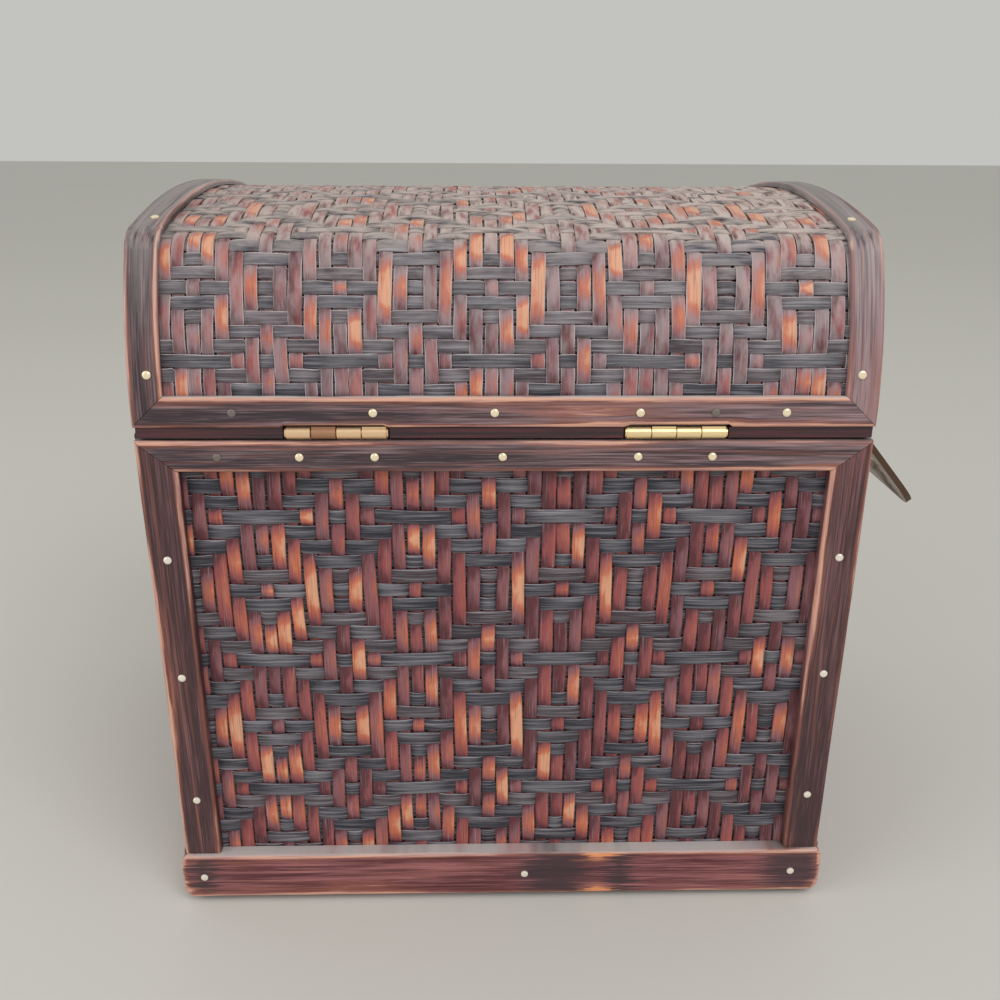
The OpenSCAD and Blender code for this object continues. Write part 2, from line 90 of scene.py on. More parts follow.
# Radii of the lid's arch, and the centres of its side and its crown
SIDE_R = 92 * MM
SHOULDER_R = 10 * MM
TIGHT_R = 1.5 * MM
CROWN_R = 240 * MM
SIDE_C = Vector((HALF_Y - SIDE_R, LID_RAIL_LOW))
CROWN_C = Vector((0, CREST - CROWN_R))

# Each wall: the middle of its outer face, the way to the right seen from outside, and the way out
WALLS = {
    "front": (Vector((0, -HALF_Y, 0)), Vector((1, 0, 0)), Vector((0, -1, 0))),
    "right": (Vector((HALF_X, 0, 0)), Vector((0, 1, 0)), Vector((1, 0, 0))),
    "back": (Vector((0, HALF_Y, 0)), Vector((-1, 0, 0)), Vector((0, 1, 0))),
    "left": (Vector((-HALF_X, 0, 0)), Vector((0, -1, 0)), Vector((-1, 0, 0))),
}
LONG_WALLS = ("front", "back")
# Room at a strip's ends, the drop of a mitred end and the rise of a rail's edge over a hinge
CLEAR = 0.3 * MM
MITRE_DROP = 0.15 * MM
NOTCH = 0.6 * MM
# Rounding of the base rails' corners
CORNER = 3 * MM
# Ends along X of the places where a nail has gone dull
BODY_DULL = ((69 * MM, 72.5 * MM),)
LID_DULL = ((64.5 * MM, 68 * MM), (-52.5 * MM, -49 * MM))
# Stains and the knot on the back base rail: place to the right, and half width
STAINS = ((-86 * MM, 4.4 * MM), (14.8 * MM, 10 * MM), (33.5 * MM, 4.6 * MM), (85 * MM, 10 * MM))
KNOT = (27.2 * MM, 3.0 * MM)
# The camera's place, its turn aside, down and round in degrees, and its lens, as wide as its sensor
CAMERA_PLACE = Vector((7.28, 308.91, 211.67)) * MM
CAMERA_TURN = (1.387, 20.528, 0.311)
LENS = 36
# Place and width of each light, what they point at, and half the floor's width
KEY_LIGHT = ((-0.55, 0.9, 1.1), 0.9)
FILL_LIGHT = ((0.9, 0.5, 0.5), 0.8)
LIGHT_AIM = Vector((0, 0, 0.1))
FLOOR_HALF = 6.0


# Settings


def srgb(red, green, blue):
    """A colour as the eye reads it, 0 to 255, as scene linear values."""
    values = [c / 255 for c in (red, green, blue)]
    return tuple(c / 12.92 if c <= 0.04045 else ((c + 0.055) / 1.055) ** 2.4 for c in values)


def colour_setting(name, description, red, green, blue):
    return bpy.props.FloatVectorProperty(
        name=name,
        description=description,
        default=srgb(red, green, blue),
        size=3,
        min=0,
        max=1,
        subtype="COLOR",
    )


def length_setting(name, description, default, least, most):
    """A length, given in millimetres."""
    return bpy.props.FloatProperty(
        name=name,
        description=description,
        default=default * MM,
        min=least * MM,
        max=most * MM,
        precision=5,
        unit="LENGTH",
    )


class PlaitSettings(bpy.types.PropertyGroup):
    """Sizes and colours of the plaited bamboo."""

    warp_pitch: length_setting("Warp pitch", "Distance between neighbouring upright strips", 3.85, 2, 8)
    weft_pitch: length_setting("Weft pitch", "Distance between neighbouring level strips", 4.13, 2, 8)
    strip_share: bpy.props.FloatProperty(
        name="Strip width",
        description="Width of a strip as a share of its pitch",
        default=0.93,
        min=0.5,
        max=0.98,
        subtype="FACTOR",
    )
    strip_thickness: length_setting("Strip thickness", "Thickness of a split strip", 0.4, 0.2, 0.6)
    rise: length_setting(
        "Rise", "How far the middle of a long float stands out from the middle of the sheet", 0.55, 0.1, 0.8
    )
    seed: bpy.props.IntProperty(name="Seed", description="Start of the random draws", default=7)
    warp_dark: colour_setting("Warp dark", "Colour of an upright strip under full lacquer", 92, 48, 54)
    warp_red: colour_setting("Warp red", "Usual colour of an upright strip", 150, 78, 78)
    warp_orange: colour_setting(
        "Warp orange", "Colour of an upright strip where the lacquer is rubbed thin", 206, 116, 84
    )
    # Where the lacquer is worn away, and also the painted highlight on the brightest floats and right sides
    warp_pale: colour_setting(
        "Warp pale", "Colour of an upright strip where the lacquer is gone", 230, 172, 138
    )
    warp_plum: colour_setting("Warp plum", "Colour of the duller upright strips", 132, 92, 100)
    weft_dark: colour_setting("Weft dark", "Colour of a level strip", 50, 50, 58)
    weft_brown: colour_setting("Weft brown", "Colour of the browner level strips", 76, 62, 66)
    # Also the painted highlight on the level strips' upper edges and the painted sheen on the upright
    # strips
    weft_pale: colour_setting(
        "Weft pale", "Colour of a level strip's fibres and rubbed edges", 172, 168, 176
    )
    # Also the painted sheen on the lid's upward faces
    dust: colour_setting("Dust", "Colour of the dust on the lid's crown", 200, 184, 176)
    haze: colour_setting("Haze", "Colour of the dust on the lid's sides", 192, 184, 190)
    # Painted shade: this colour darkens the upright strips' outer edges, where they dip between their
    # neighbours.
    painted_shade: colour_setting("Grime", "Colour of the dirt along an upright strip's edges", 44, 26, 27)


class SlatSettings(bpy.types.PropertyGroup):
    """Sizes and colours of the bamboo slats."""

    rounding: length_setting("Rounding", "Rounding along a slat's outer edges", 0.8, 0.2, 1.5)
    unevenness: length_setting("Unevenness", "How far a hand-cut edge wanders", 0.12, 0, 0.4)
    dark: colour_setting("Dark stain", "Colour of a slat under full stain", 60, 48, 54)
    grain: colour_setting("Grain", "Colour of the fibres that show through the stain", 176, 146, 150)
    worn: colour_setting("Worn edge", "Colour where an edge is rubbed bare", 226, 172, 146)
    blush: colour_setting("Half worn edge", "Colour where an edge is rubbed less", 182, 134, 130)
    post_dark: colour_setting("Corner stain", "Colour of the corner slats' stain", 66, 44, 48)
    post_grain: colour_setting("Corner fibres", "Colour of the corner slats' paler fibres", 150, 106, 108)
    base_dark: colour_setting("Base rail dark", "Darker colour of the base rails", 88, 42, 48)
    base_red: colour_setting("Base rail red", "Lighter colour of the base rails", 196, 128, 130)
    ember: colour_setting("Knot", "Colour of the bare knot on the back base rail", 240, 158, 108)
    rust: colour_setting("Rust", "Colour beside a worn edge", 156, 94, 78)
    dust: colour_setting("Dust", "Colour of the dust on the ledges", 190, 184, 182)


class FittingSettings(bpy.types.PropertyGroup):
    """Colours of the metal fittings and the boards."""

    brass: colour_setting("Brass", "Colour of the brighter hinge", 252, 226, 172)
    nail: colour_setting("Nails", "Colour of the nails on the rails", 250, 234, 200)
    dull_nail: colour_setting("Dull nails", "Colour of the nails that have gone dull", 98, 90, 92)
    silver: colour_setting("Silvery nails", "Colour of the nails low on the body", 246, 238, 224)
    tarnish: colour_setting("Tarnish", "Colour of dull spots on the brass", 168, 122, 92)
    copper: colour_setting("Coppery brass", "Colour of the duller hinge", 240, 204, 162)
    aged: colour_setting("Aged brass", "Colour of the handles", 178, 165, 142)
    # Darker brown on the handles' faces that point along Y, the edges of their arms
    aged_dark: colour_setting("Aged brass dark", "Colour of the handles' brown film", 96, 74, 56)
    board: colour_setting("Board", "Colour of the inner boards", 172, 134, 96)
    board_grain: colour_setting("Board grain", "Colour of the grain of the inner boards", 122, 86, 58)
    # Painted shade: this colour darkens the brass above the hinges' barrels, where the leaves sit in
    # shadow.
    hinge_shade: colour_setting("Hinge grime", "Colour of the dirt above the hinges' barrels", 66, 46, 38)
    # Dark partly by the strips' own colour, partly painted shade of the recess under the lid's rails
    rim: colour_setting("Rim strips", "Colour of the strips under the lid's rails", 44, 34, 38)


class StageSettings(bpy.types.PropertyGroup):
    """Floor and light."""

    floor: colour_setting("Floor", "Colour of the floor", 214, 212, 206)
    key_power: bpy.props.FloatProperty(
        name="Key light", description="Power of the main light", default=7.8, min=0, unit="POWER"
    )
    fill_power: bpy.props.FloatProperty(
        name="Fill light", description="Power of the side light", default=3.2, min=0, unit="POWER"
    )
    sky_colour: colour_setting("Sky colour", "Colour of the light from all round", 238, 238, 234)
    sky: bpy.props.FloatProperty(
        name="Sky", description="Strength of the light from all round", default=0.64, min=0, max=2
    )


# Finishes

# The noise of each pattern: waves per metre along three axes, detail and roughness. On strips and slats
# the axes are across the grain, along it, and the strip's number. Elsewhere they are X, Y and Z.
PATTERNS = {
    "warp fibres": ((3200, 70, 1), 3.0, 0.6),
    "warp threads": ((4600, 90, 1), 2.0, 0.5),
    "warp blotches": ((700, 160, 1), 3.0, 0.6),
    "weft fibres": ((3000, 60, 1), 3.0, 0.6),
    "weft shades": ((1300, 40, 1), 3.0, 0.6),
    "weft rubbing": ((420, 150, 1), 3.0, 0.65),
    "strip dust": ((420, 130, 1), 3.0, 0.6),
    "slat fibres": ((2300, 42, 1), 4.0, 0.65),
    "fine slat fibres": ((5200, 80, 1), 2.0, 0.5),
    "warm slat fibres": ((1100, 24, 1), 3.0, 0.6),
    "broad slat shades": ((480, 16, 1), 3.0, 0.6),
    "slat rubbing": ((800, 32, 1), 4.0, 0.65),
    "slat stretches": ((120, 14, 1), 2.0, 0.5),
    "brass film": ((160, 160, 160), 4.0, 0.6),
    "brass specks": ((1400, 1400, 1400), 2.0, 0.5),
    "handle spots": ((420, 420, 420), 4.0, 0.65),
    "handle clouds": ((95, 60, 95), 4.0, 0.6),
    "handle scratches": ((3200, 90, 3200), 2.0, 0.5),
    "board along X": ((14, 260, 420), 4.0, 0.6),
    "board along Y": ((260, 14, 420), 4.0, 0.6),
    "rim strip": ((30, 30, 1700), 4.0, 0.6),
    "floor": ((3, 3, 3), 2.0, 0.5),
}
# How much more dust and painted light lie on the lid's left end, on the side of the key light, than on its
# middle
DUST_AND_LIGHT_LEAN = 0.2
# How far a stain's end runs along the fibres
RAGGED = 30 * MM
# Where a knot shows, out from the middle of its rail
KNOT_EDGE = (3.2 * MM, 6.2 * MM)
# Fade of the silvery nails, and of a dull stretch of metal
LOW_FADE = 8 * MM
FADE = 0.2 * MM
# Inside every board, so that what faces away from here is a board's outer side
INSIDE = (0, 0, RIM * 0.7)


def sum_node(operation, turned=False):
    """A method that works out a sum of an amount and another value, in that order unless turned."""

    def method(self, other=0.0):
        first, second = (other, self) if turned else (self, other)
        made = add(self.tree, "ShaderNodeMath", {"operation": operation}, in_0=first, in_1=second)
        return Amount(made.outputs[0])

    return method


class Amount:
    """What a node gives, with the sums that a finish needs. Each sum adds its node."""

    def __init__(self, socket):
        self.socket = socket
        self.tree = socket.id_data

    __add__ = sum_node("ADD")
    __radd__ = sum_node("ADD", turned=True)
    __sub__ = sum_node("SUBTRACT")
    __rsub__ = sum_node("SUBTRACT", turned=True)
    __mul__ = sum_node("MULTIPLY")
    __pow__ = sum_node("POWER")
    __abs__ = sum_node("ABSOLUTE")
    at_least = sum_node("MAXIMUM")

    def clamped(self):
        """The same sum, kept from 0 to 1."""
        self.socket.node.use_clamp = True
        return self

    def steps(self, low, high):
        """0 below low, 1 above high, smooth between."""
        smooth = {"interpolation_type": "SMOOTHSTEP"}
        made = add(
            self.tree, "ShaderNodeMapRange", smooth, in_Value=self, in_From_Min=low, in_From_Max=high
        )
        return Amount(made.outputs[0])

    def parts(self):
        """The three parts of a vector."""
        return [Amount(s) for s in add(self.tree, "ShaderNodeSeparateXYZ", in_0=self).outputs]

    def noise(self, pattern):
        """Noise over a vector, stretched along its axes."""
        stretch, detail, roughness = PATTERNS[pattern]
        place = add(
            self.tree, "ShaderNodeVectorMath", {"operation": "MULTIPLY"}, in_0=self, in_1=stretch
        )
        made = add(
            self.tree,
            "ShaderNodeTexNoise",
            in_Vector=Amount(place.outputs[0]),
            in_Scale=1.0,
            in_Detail=detail,
            in_Roughness=roughness,
        )
        return Amount(made.outputs["Fac"])


def add(tree, kind, settings=None, **inputs):
    """Adds a node. Inputs named in_0, in_Scale and so on take a value or an Amount to link."""
    made = tree.nodes.new(kind)
    for name, value in (settings or {}).items():
        setattr(made, name, value)
    for name, value in inputs.items():
        key = name[3:].replace("_", " ")
        socket = made.inputs[int(key)] if key.isdigit() else made.inputs[key]
        if isinstance(value, Amount):
            tree.links.new(value.socket, socket)
        else:
            socket.default_value = value
    return made


def new_finish(name, roughness, metallic=0.0, gloss=0.5):
    """An empty material with a Principled shader."""
    finish = bpy.data.materials.new(name)
    finish.use_nodes = True
    tree = finish.node_tree
    tree.nodes.clear()
    shader = add(
        tree,
        "ShaderNodeBsdfPrincipled",
        in_Roughness=roughness,
        in_Metallic=metallic,
        in_Specular_IOR_Level=gloss,
    )
    add(tree, "ShaderNodeOutputMaterial", in_Surface=Amount(shader.outputs[0]))
    return finish, tree, shader


def feed(shader, socket, amount):
    shader.id_data.links.new(amount.socket, shader.inputs[socket])


def dress(shader, colour, height, strength, depth):
    """Gives a shader its colour and its fine relief."""
    feed(shader, "Base Color", colour)
    relief = add(
        shader.id_data, "ShaderNodeBump", in_Strength=strength, in_Distance=depth, in_Height=height
    )
    feed(shader, "Normal", Amount(relief.outputs[0]))


def mark(tree, name, output="Fac"):
    """What a mark on the mesh says."""
    return Amount(add(tree, "ShaderNodeAttribute", {"attribute_name": name}).outputs[output])


def surface(tree, kind):
    """A point's Object place or its Normal."""
    return Amount(add(tree, "ShaderNodeTexCoord").outputs[kind])


def mixed(share, first, second):
    """One colour with a share of another. Each is an Amount or a plain colour."""
    first, second = (c if isinstance(c, Amount) else (*c, 1) for c in (first, second))
    made = add(
        share.tree, "ShaderNodeMix", {"data_type": "RGBA"}, in_0=share, in_6=first, in_7=second
    )
    return Amount(made.outputs[2])


def by_strip(grain, low, high):
    """A share that differs from strip to strip."""
    number = grain.parts()[2]
    draw = add(grain.tree, "ShaderNodeTexWhiteNoise", {"noise_dimensions": "1D"}, in_W=number)
    return Amount(draw.outputs["Value"]).steps(low, high)


def warp_finish(name, look, dusty):
    """Red lacquered strips, rubbed orange where the tone mark is high. Dusty is 0 to 1."""
    finish, tree, shader = new_finish(name, roughness=0.48, gloss=0.35)
    grain = mark(tree, "grain", "Vector")
    fibres = grain.noise("warp fibres")
    level = (mark(tree, "tone") + grain.noise("warp blotches") * 0.6 - 0.3).clamped()
    plain = mixed(by_strip(grain, 0.3, 0.8) * 0.9, look.warp_red, look.warp_plum)
    colour = mixed(level.steps(0.0, 0.32), look.warp_dark, plain)
    rubbed = level.steps(0.26, 0.88)
    colour = mixed(rubbed, colour, look.warp_orange)
    # Bare lacquer and painted highlight where the tone is highest
    colour = mixed(level.steps(0.72, 1.0) * 0.85, colour, look.warp_pale)
    colour = mixed(fibres.steps(0.5, 0.72) * 0.5, colour, look.warp_dark)
    # Pale fibre streaks, with a painted sheen
    threads_and_sheen = grain.noise("warp threads").steps(0.58, 0.74)
    colour = mixed(threads_and_sheen * 0.4, colour, look.weft_pale)
    # Painted shade along the outer edges of the strips, where they dip between their neighbours
    colour = mixed(mark(tree, "edge").steps(0.7, 1.0) * 0.5, colour, look.painted_shade)
    if dusty:
        colour = dust_and_sheen(look, colour, grain, dusty, rubbed, least=0.28)
    dress(shader, colour, fibres, strength=0.45, depth=0.15 * MM)
    return finish


def weft_finish(name, look, dusty):
    """Charcoal strips with pale fibres, and rubbed upper edges that also carry a painted highlight. Dusty
    is 0 to 1.
    """
    finish, tree, shader = new_finish(name, roughness=0.5, gloss=0.25)
    grain = mark(tree, "grain", "Vector")
    fibres = grain.noise("weft fibres")
    shades = grain.noise("weft shades").steps(0.42, 0.68)
    plain = mixed(by_strip(grain, 0.5, 1.0) * 0.8, look.weft_dark, look.weft_brown)
    level = fibres.steps(0.45, 0.75) * 0.45 + mark(tree, "tone") * 0.25 + shades * 0.28
    colour = mixed((level - 0.08).clamped(), plain, look.weft_pale)
    # Wear and painted highlight along the upper edges
    rubbed = mark(tree, "edge") + grain.noise("weft rubbing") * 0.7
    rubbed = rubbed.steps(1.14, 1.34) * 0.9
    colour = mixed(rubbed, colour, look.weft_pale)
    if dusty:
        colour = dust_and_sheen(look, colour, grain, dusty, rubbed, least=0.04)
    dress(shader, colour, fibres, strength=0.5, depth=0.15 * MM)
    return finish


def dust_and_sheen(look, colour, grain, dusty, spared, least):
    """A bloom of dust and painted sheen, least on what is upright, thin where the strip is rubbed, thick on
    its edges.
    """
    tree = grain.tree
    patches = grain.noise("strip dust")
    facing = mark(tree, "dust")
    along = surface(tree, "Object").parts()[0]
    # Dust and painted sheen, thickest on upward faces
    upward_dust_and_sheen = (facing**1.5 * (1 - least) + least) * (1.0 - along * (DUST_AND_LIGHT_LEAN / HALF_X))
    level = (upward_dust_and_sheen * (patches.steps(0.26, 0.64) * dusty)).clamped() * (1.0 - spared * 0.85)
    caught = (mark(tree, "edge") + patches * 0.9).steps(1.08, 1.4) * 0.85
    return mixed(level.at_least(caught), colour, mixed(facing, look.haze, look.dust))


def slat_finish(name, look, dark, light, wear, dusty, stains=(), knots=()):
    """Stained bamboo with long fibres, worn along its edges.

    Wear is about 1 and dusty is 0 to 1. Stains and knots each give a place along the slat and its half
    width.
    """
    finish, tree, shader = new_finish(name, roughness=0.42, gloss=0.4)
    grain = mark(tree, "grain", "Vector")
    across, along, _ = grain.parts()
    fibres = grain.noise("slat fibres")
    fine = grain.noise("fine slat fibres")
    rub = grain.noise("slat rubbing")
    level = fibres * 0.8 + grain.noise("broad slat shades") * 0.7 + mark(tree, "tone") * 0.35
    colour = mixed(level.steps(0.72, 1.12) * 0.8, dark, light)
    colour = mixed(fine.steps(0.54, 0.7) * 0.3, colour, dark)
    colour = mixed((1.0 - fine.steps(0.28, 0.42)) * 0.45, colour, light)
    warm = grain.noise("warm slat fibres").steps(0.5, 0.68)
    colour = mixed(warm * 0.35, colour, look.rust)
    for place, half in stains:
        colour = mixed(near(along, fibres, place, half) * 0.85, colour, look.dark)
    edge = mark(tree, "edge") * 0.8 + rub * 1.5 + grain.noise("slat stretches") * 2.0
    start = 2.72 - 0.3 * wear
    colour = mixed(edge.steps(start - 0.4, start + 0.1) * 0.6, colour, look.rust)
    worn = mixed(fibres.steps(0.42, 0.62), look.worn, look.blush)
    colour = mixed(edge.steps(start, start + 0.3) * 0.95, colour, worn)
    for place, half in knots:
        outer = abs(across).steps(*KNOT_EDGE) * (1.0 - mark(tree, "dust")).clamped()
        colour = mixed(near(along, fibres, place, half) * 0.95 * outer, colour, look.ember)
    dust = mark(tree, "dust").steps(0.15, 0.6) * dusty * rub.steps(0.24, 0.6)
    colour = mixed(dust, colour, look.dust)
    dress(shader, colour, fibres, strength=0.3, depth=0.2 * MM)
    return finish


def near(along, fibres, place, half):
    """1 near a place along a slat, fading to 0 with ragged ends."""
    off = abs(along - place) + (fibres - 0.5) * RAGGED
    return 1.0 - off.steps(0.5 * half, 1.3 * half)


def metal_finish(name, bright, dull, roughness, dull_from, metallic, low=None, patches=(), painted_shade=None):
    """Brass with dull spots, by place on the object.

    Low is a colour for what is low on the body. Patches are the ends of dull stretches along X.
    The last argument is a colour of painted shade for what is tucked in above the hinges' barrels, in their
    shadow.
    """
    finish, tree, shader = new_finish(name, roughness, metallic)
    place = surface(tree, "Object")
    along, _, height = place.parts()
    if low:
        bright = mixed(height.steps(TOP_RAIL_LOW - LOW_FADE, TOP_RAIL_LOW), low, bright)
    specks = place.noise("brass specks")
    level = (place.noise("brass film") + specks * 0.35).steps(dull_from, dull_from + 0.3)
    for first, last in patches:
        within = along.steps(first - FADE, first) - along.steps(last, last + FADE)
        level = level.at_least(within * 0.9)
    colour = mixed(level, bright, dull)
    if painted_shade:
        # Painted shade over the brass above the barrels
        colour = mixed(height.steps(BARREL_TOP - FADE, BARREL_TOP), colour, painted_shade)
    feed(shader, "Roughness", roughness + level * 0.25)
    dress(shader, colour, specks, strength=0.15, depth=0.08 * MM)
    return finish


def handle_finish(name, rubbed, darker_brown):
    """Aged brass, rubbed and scratched on its flats, mottled, and darker brown on the faces that point
    along Y, the edges of its arms.
    """
    finish, tree, shader = new_finish(name, roughness=0.46, metallic=0.55)
    sideways = surface(tree, "Normal").parts()[1]
    place = surface(tree, "Object")
    spots = place.noise("handle spots")
    # Darker brown where the face points along Y
    level = abs(sideways) + spots * 0.6 + place.noise("handle clouds").steps(0.42, 0.66) * 0.4
    colour = mixed(level.steps(0.25, 0.9), rubbed, darker_brown)
    scratches = place.noise("handle scratches").steps(0.56, 0.72)
    colour = mixed(scratches * 0.4, colour, darker_brown)
    feed(shader, "Roughness", 0.32 + level.steps(0.2, 0.9) * 0.28)
    dress(shader, colour, spots, strength=0.25, depth=0.1 * MM)
    return finish


def board_finish(name, pale, dark, pattern, outside=None):
    """Plain board with straight grain. Outside is the stain on its outer side."""
    finish, tree, shader = new_finish(name, roughness=0.62)
    place = surface(tree, "Object")
    lines = place.noise(pattern)
    colour = mixed(lines.steps(0.35, 0.7), pale, dark)
    if outside:
        off = add(tree, "ShaderNodeVectorMath", {"operation": "SUBTRACT"}, in_0=place, in_1=INSIDE)
        facing = add(
            tree,
            "ShaderNodeVectorMath",
            {"operation": "DOT_PRODUCT"},
            in_0=Amount(off.outputs[0]),
            in_1=surface(tree, "Normal"),
        )
        outer = Amount(facing.outputs["Value"]).steps(0.0, 2 * MM)
        colour = mixed(outer, colour, outside)
    dress(shader, colour, lines, strength=0.2, depth=0.2 * MM)
    return finish


# Shapes

# Angle in degrees past which an edge is sharp, on slats and on plaited strips
SLAT_SHARP = 40
PLAIT_SHARP = 50
# Edge mark of a strip's inner side, which is never worn
INNER_EDGE = -2.0
# Share of a ledge's dust that the slat's face beside it has
DUST_BESIDE = 0.5


class Sheet:
    """A bmesh of strips, with the marks that the finishes read: grain, edge, tone and dust."""

    def __init__(self):
        self.shape = bmesh.new()
        layers = self.shape.verts.layers
        self.grain = layers.float_vector.new("grain")
        self.inward = layers.float_vector.new("inward")
        self.ledge = layers.float.new("ledge")
        self.edge = layers.float.new("edge")
        self.tone = layers.float.new("tone")
        self.dust = layers.float.new("dust")

    def lay(self, columns, rows, spot):
        """Lays one strip. Spot gives a column's and row's point, way in, grain, edge, tone and ledge."""
        made = bmesh.ops.create_grid(
            self.shape, x_segments=columns - 1, y_segments=rows - 1, size=1.0
        )
        for vert in made["verts"]:
            column = round((vert.co.x + 1) / 2 * (columns - 1))
            row = round((vert.co.y + 1) / 2 * (rows - 1))
            point, inward, grain, edge, tone, ledge = spot(column, row)
            vert.co = point
            vert[self.inward] = inward
            vert[self.grain] = grain
            vert[self.edge] = edge
            vert[self.tone] = tone
            vert[self.ledge] = ledge
            vert[self.dust] = max(0.0, -inward.normalized().z, DUST_BESIDE * ledge)

    def close(self):
        """Gives the strips their thickness, along each point's way in. Dust lies on the ledges."""
        made = bmesh.ops.extrude_face_region(self.shape, geom=self.shape.faces[:])["geom"]
        for item in made:
            if isinstance(item, bmesh.types.BMVert):
                item.co += item[self.inward]
                item[self.edge] = INNER_EDGE
                item[self.dust] = max(item[self.dust], item[self.ledge])

    def piece(self, name, finish, body, nodes, sharp=SLAT_SHARP):
        """Makes the finished object, with what it rides on and stands for."""
        if not self.shape.faces:
            raise RuntimeError(f"{name} has no faces")
        self.close()
        bmesh.ops.recalc_face_normals(self.shape, faces=self.shape.faces[:])
        self.shape.verts.layers.float_vector.remove(self.inward)
        self.shape.verts.layers.float.remove(self.shape.verts.layers.float["ledge"])
        mesh = bpy.data.meshes.new(name)
        self.shape.to_mesh(mesh)
        self.shape.free()
        mesh.shade_smooth()
        mesh.set_sharp_from_angle(angle=math.radians(sharp))
        mesh.materials.append(finish)
        made = bpy.data.objects.new(name, mesh)
        bpy.context.scene.collection.objects.link(made)
        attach(made, body)
        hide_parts(*nodes)


def on_wall(wall, across, height, out):
    """A point on a wall, out from the slats' outer face."""
    middle, right, outward = WALLS[wall]
    return middle + right * across + UP * height + outward * out


# The lid's arch


@functools.lru_cache(maxsize=None)
def arch_parts(inset):
    """Centre, radius and angles of the side, the shoulder and the crown, in by a distance."""
    corner_r = max(SHOULDER_R - inset, TIGHT_R)
    reach_a = SIDE_R - inset - corner_r
    reach_b = CROWN_R - inset - corner_r
    way = CROWN_C - SIDE_C
    far = way.length
    way = way / far
    along = (reach_a**2 - reach_b**2 + far**2) / (2 * far)
    centre = SIDE_C + way * along + Vector((-way.y, way.x)) * math.sqrt(reach_a**2 - along**2)
    low = math.atan2(centre.y - SIDE_C.y, centre.x - SIDE_C.x)
    high = math.atan2(centre.y - CROWN_C.y, centre.x - CROWN_C.x)
    return (
        (SIDE_C, SIDE_R - inset, 0.0, low),
        (centre, corner_r, low, high),
        (CROWN_C, CROWN_R - inset, high, math.pi / 2),
    )


def arc_spot(centre, radius, angle, mirrored):
    """Point and way out at an angle on one part of the arch, or on its other side."""
    out = Vector((math.cos(angle), math.sin(angle)))
    point = centre + out * radius
    flip = -1 if mirrored else 1
    return Vector((point.x * flip, point.y)), Vector((out.x * flip, out.y))


def arch_share(inset, share, first=0.0):
    """Point and way out on the arch for a share from 0 to 6: side, shoulder, crown and back down.

    First is the height above the lid rail's lower edge where the side begins.
    """
    mirrored = share > 3
    share = 6 - share if mirrored else share
    part = min(int(share), 2)
    centre, radius, low, high = arch_parts(inset)[part]
    if part == 0 and first:
        low = math.asin(first / radius)
    return arc_spot(centre, radius, low + (high - low) * (share - part), mirrored)


def arch_length(inset):
    """Length of the whole arch, from rim to rim."""
    return 2 * (LID_RAIL_LOW - LID_RIM + sum(r * (b - a) for _, r, a, b in arch_parts(inset)))


def arch_run(inset, run):
    """Point and way out on the arch at a distance along it from the back of the lid's rim."""
    whole = arch_length(inset)
    mirrored = run > whole / 2
    run = whole - run if mirrored else run
    straight = LID_RAIL_LOW - LID_RIM
    if run <= straight:
        flip = -1 if mirrored else 1
        return Vector(((HALF_Y - inset) * flip, LID_RIM + run)), Vector((flip, 0))
    run -= straight
    for part, (centre, radius, low, high) in enumerate(arch_parts(inset)):
        if run <= radius * (high - low) or part == 2:
            return arc_spot(centre, radius, low + run / radius, mirrored)
        run -= radius * (high - low)
    raise RuntimeError("the arch has no such place")


# Plaited sheets

# The pattern's repeat in strips, and how far from a flower's middle the upright strips show
REPEAT = 10
WARP_OVER = (1, 2, 5, 6, 7, 10)
# Middle of a flower in each sheet's pattern: across seen from outside, and height or run along the lid
WALL_FLOWERS = {
    "front": (0.0, 77 * MM),
    "right": (0.0, 77 * MM),
    "back": (-4.4 * MM, 77 * MM),
    "left": (0.0, 77 * MM),
}
LID_FLOWER = (18.1 * MM, 18.6 * MM)
LID_END_FLOWER = (0.0, LID_RAIL_TOP + 8 * MM)
# Pitch of the lid's upright and level strips as shares of the walls', and how far the upright ones crowd
# to the left, most in the middle and not at all at the edges
LID_TIGHTER = (0.955, 0.84)
LID_SPREAD = 0.44
# Across a strip: offset, edge mark, drop
STRIP_COLUMNS = (
    (-1.0, 1.0, 0.12 * MM),
    (-0.78, 0.5, 0.03 * MM),
    (0.0, 0.0, 0.0),
    (0.78, 0.5, 0.03 * MM),
    (1.0, 1.0, 0.12 * MM),
)
# Rows along a short and a long float, from its start at -1 to its end at 1, and the least gap of rows
SHORT_FLOAT = (-0.96, -0.6, 0.0, 0.6, 0.96)
LONG_FLOAT = (-0.98, -0.72, -0.36, 0.0, 0.36, 0.72, 0.98)
LONG_COUNT = 3
ROW_GAP = 0.1 * MM
# Rise of a float of no crossings, and what each crossing adds, up to four
FLOAT_RISE = (0.72, 0.07, 4)
# Ranges of a float's draws: its height, plain tone, wear, shift aside in mm, and tilt
HEIGHTS = (0.92, 1.0)
PLAIN_TONES = (0.1, 0.45)
WEARS = (-0.6, 0.6)
SHIFTS = (-0.1, 0.1)
TILTS = (-0.035, 0.035)
# Ranges of a strip's draws: its sway in mm, width, wear, and the width of each row
SWAYS = (0.03, 0.14)
WIDTHS = (0.9, 1.03)
STRIP_WEARS = (-0.12, 0.12)
ROW_WIDTHS = (0.93, 1.0)
# How much more a float is worn for each crossing over the usual count
WEAR_PER_CROSSING = 0.1
USUAL_COUNT = 2.5
# How much darker a float's ends are: painted shade where it dips under the crossing strips
SHADED_ENDS = 0.3
# Turns of a strip's sway per metre, in radians
SWAY_RATE = 90
# Rise of a level strip as a share of an upright one's, and how much brighter a painted highlight makes a
# strip's right side
LEVEL_RISE = 0.8
LIT_SIDE = 0.16
# Edge mark of a level strip's lower edge as a share of its upper edge's; the upper edge carries wear and a
# painted highlight
LOWER_EDGE = 0.5
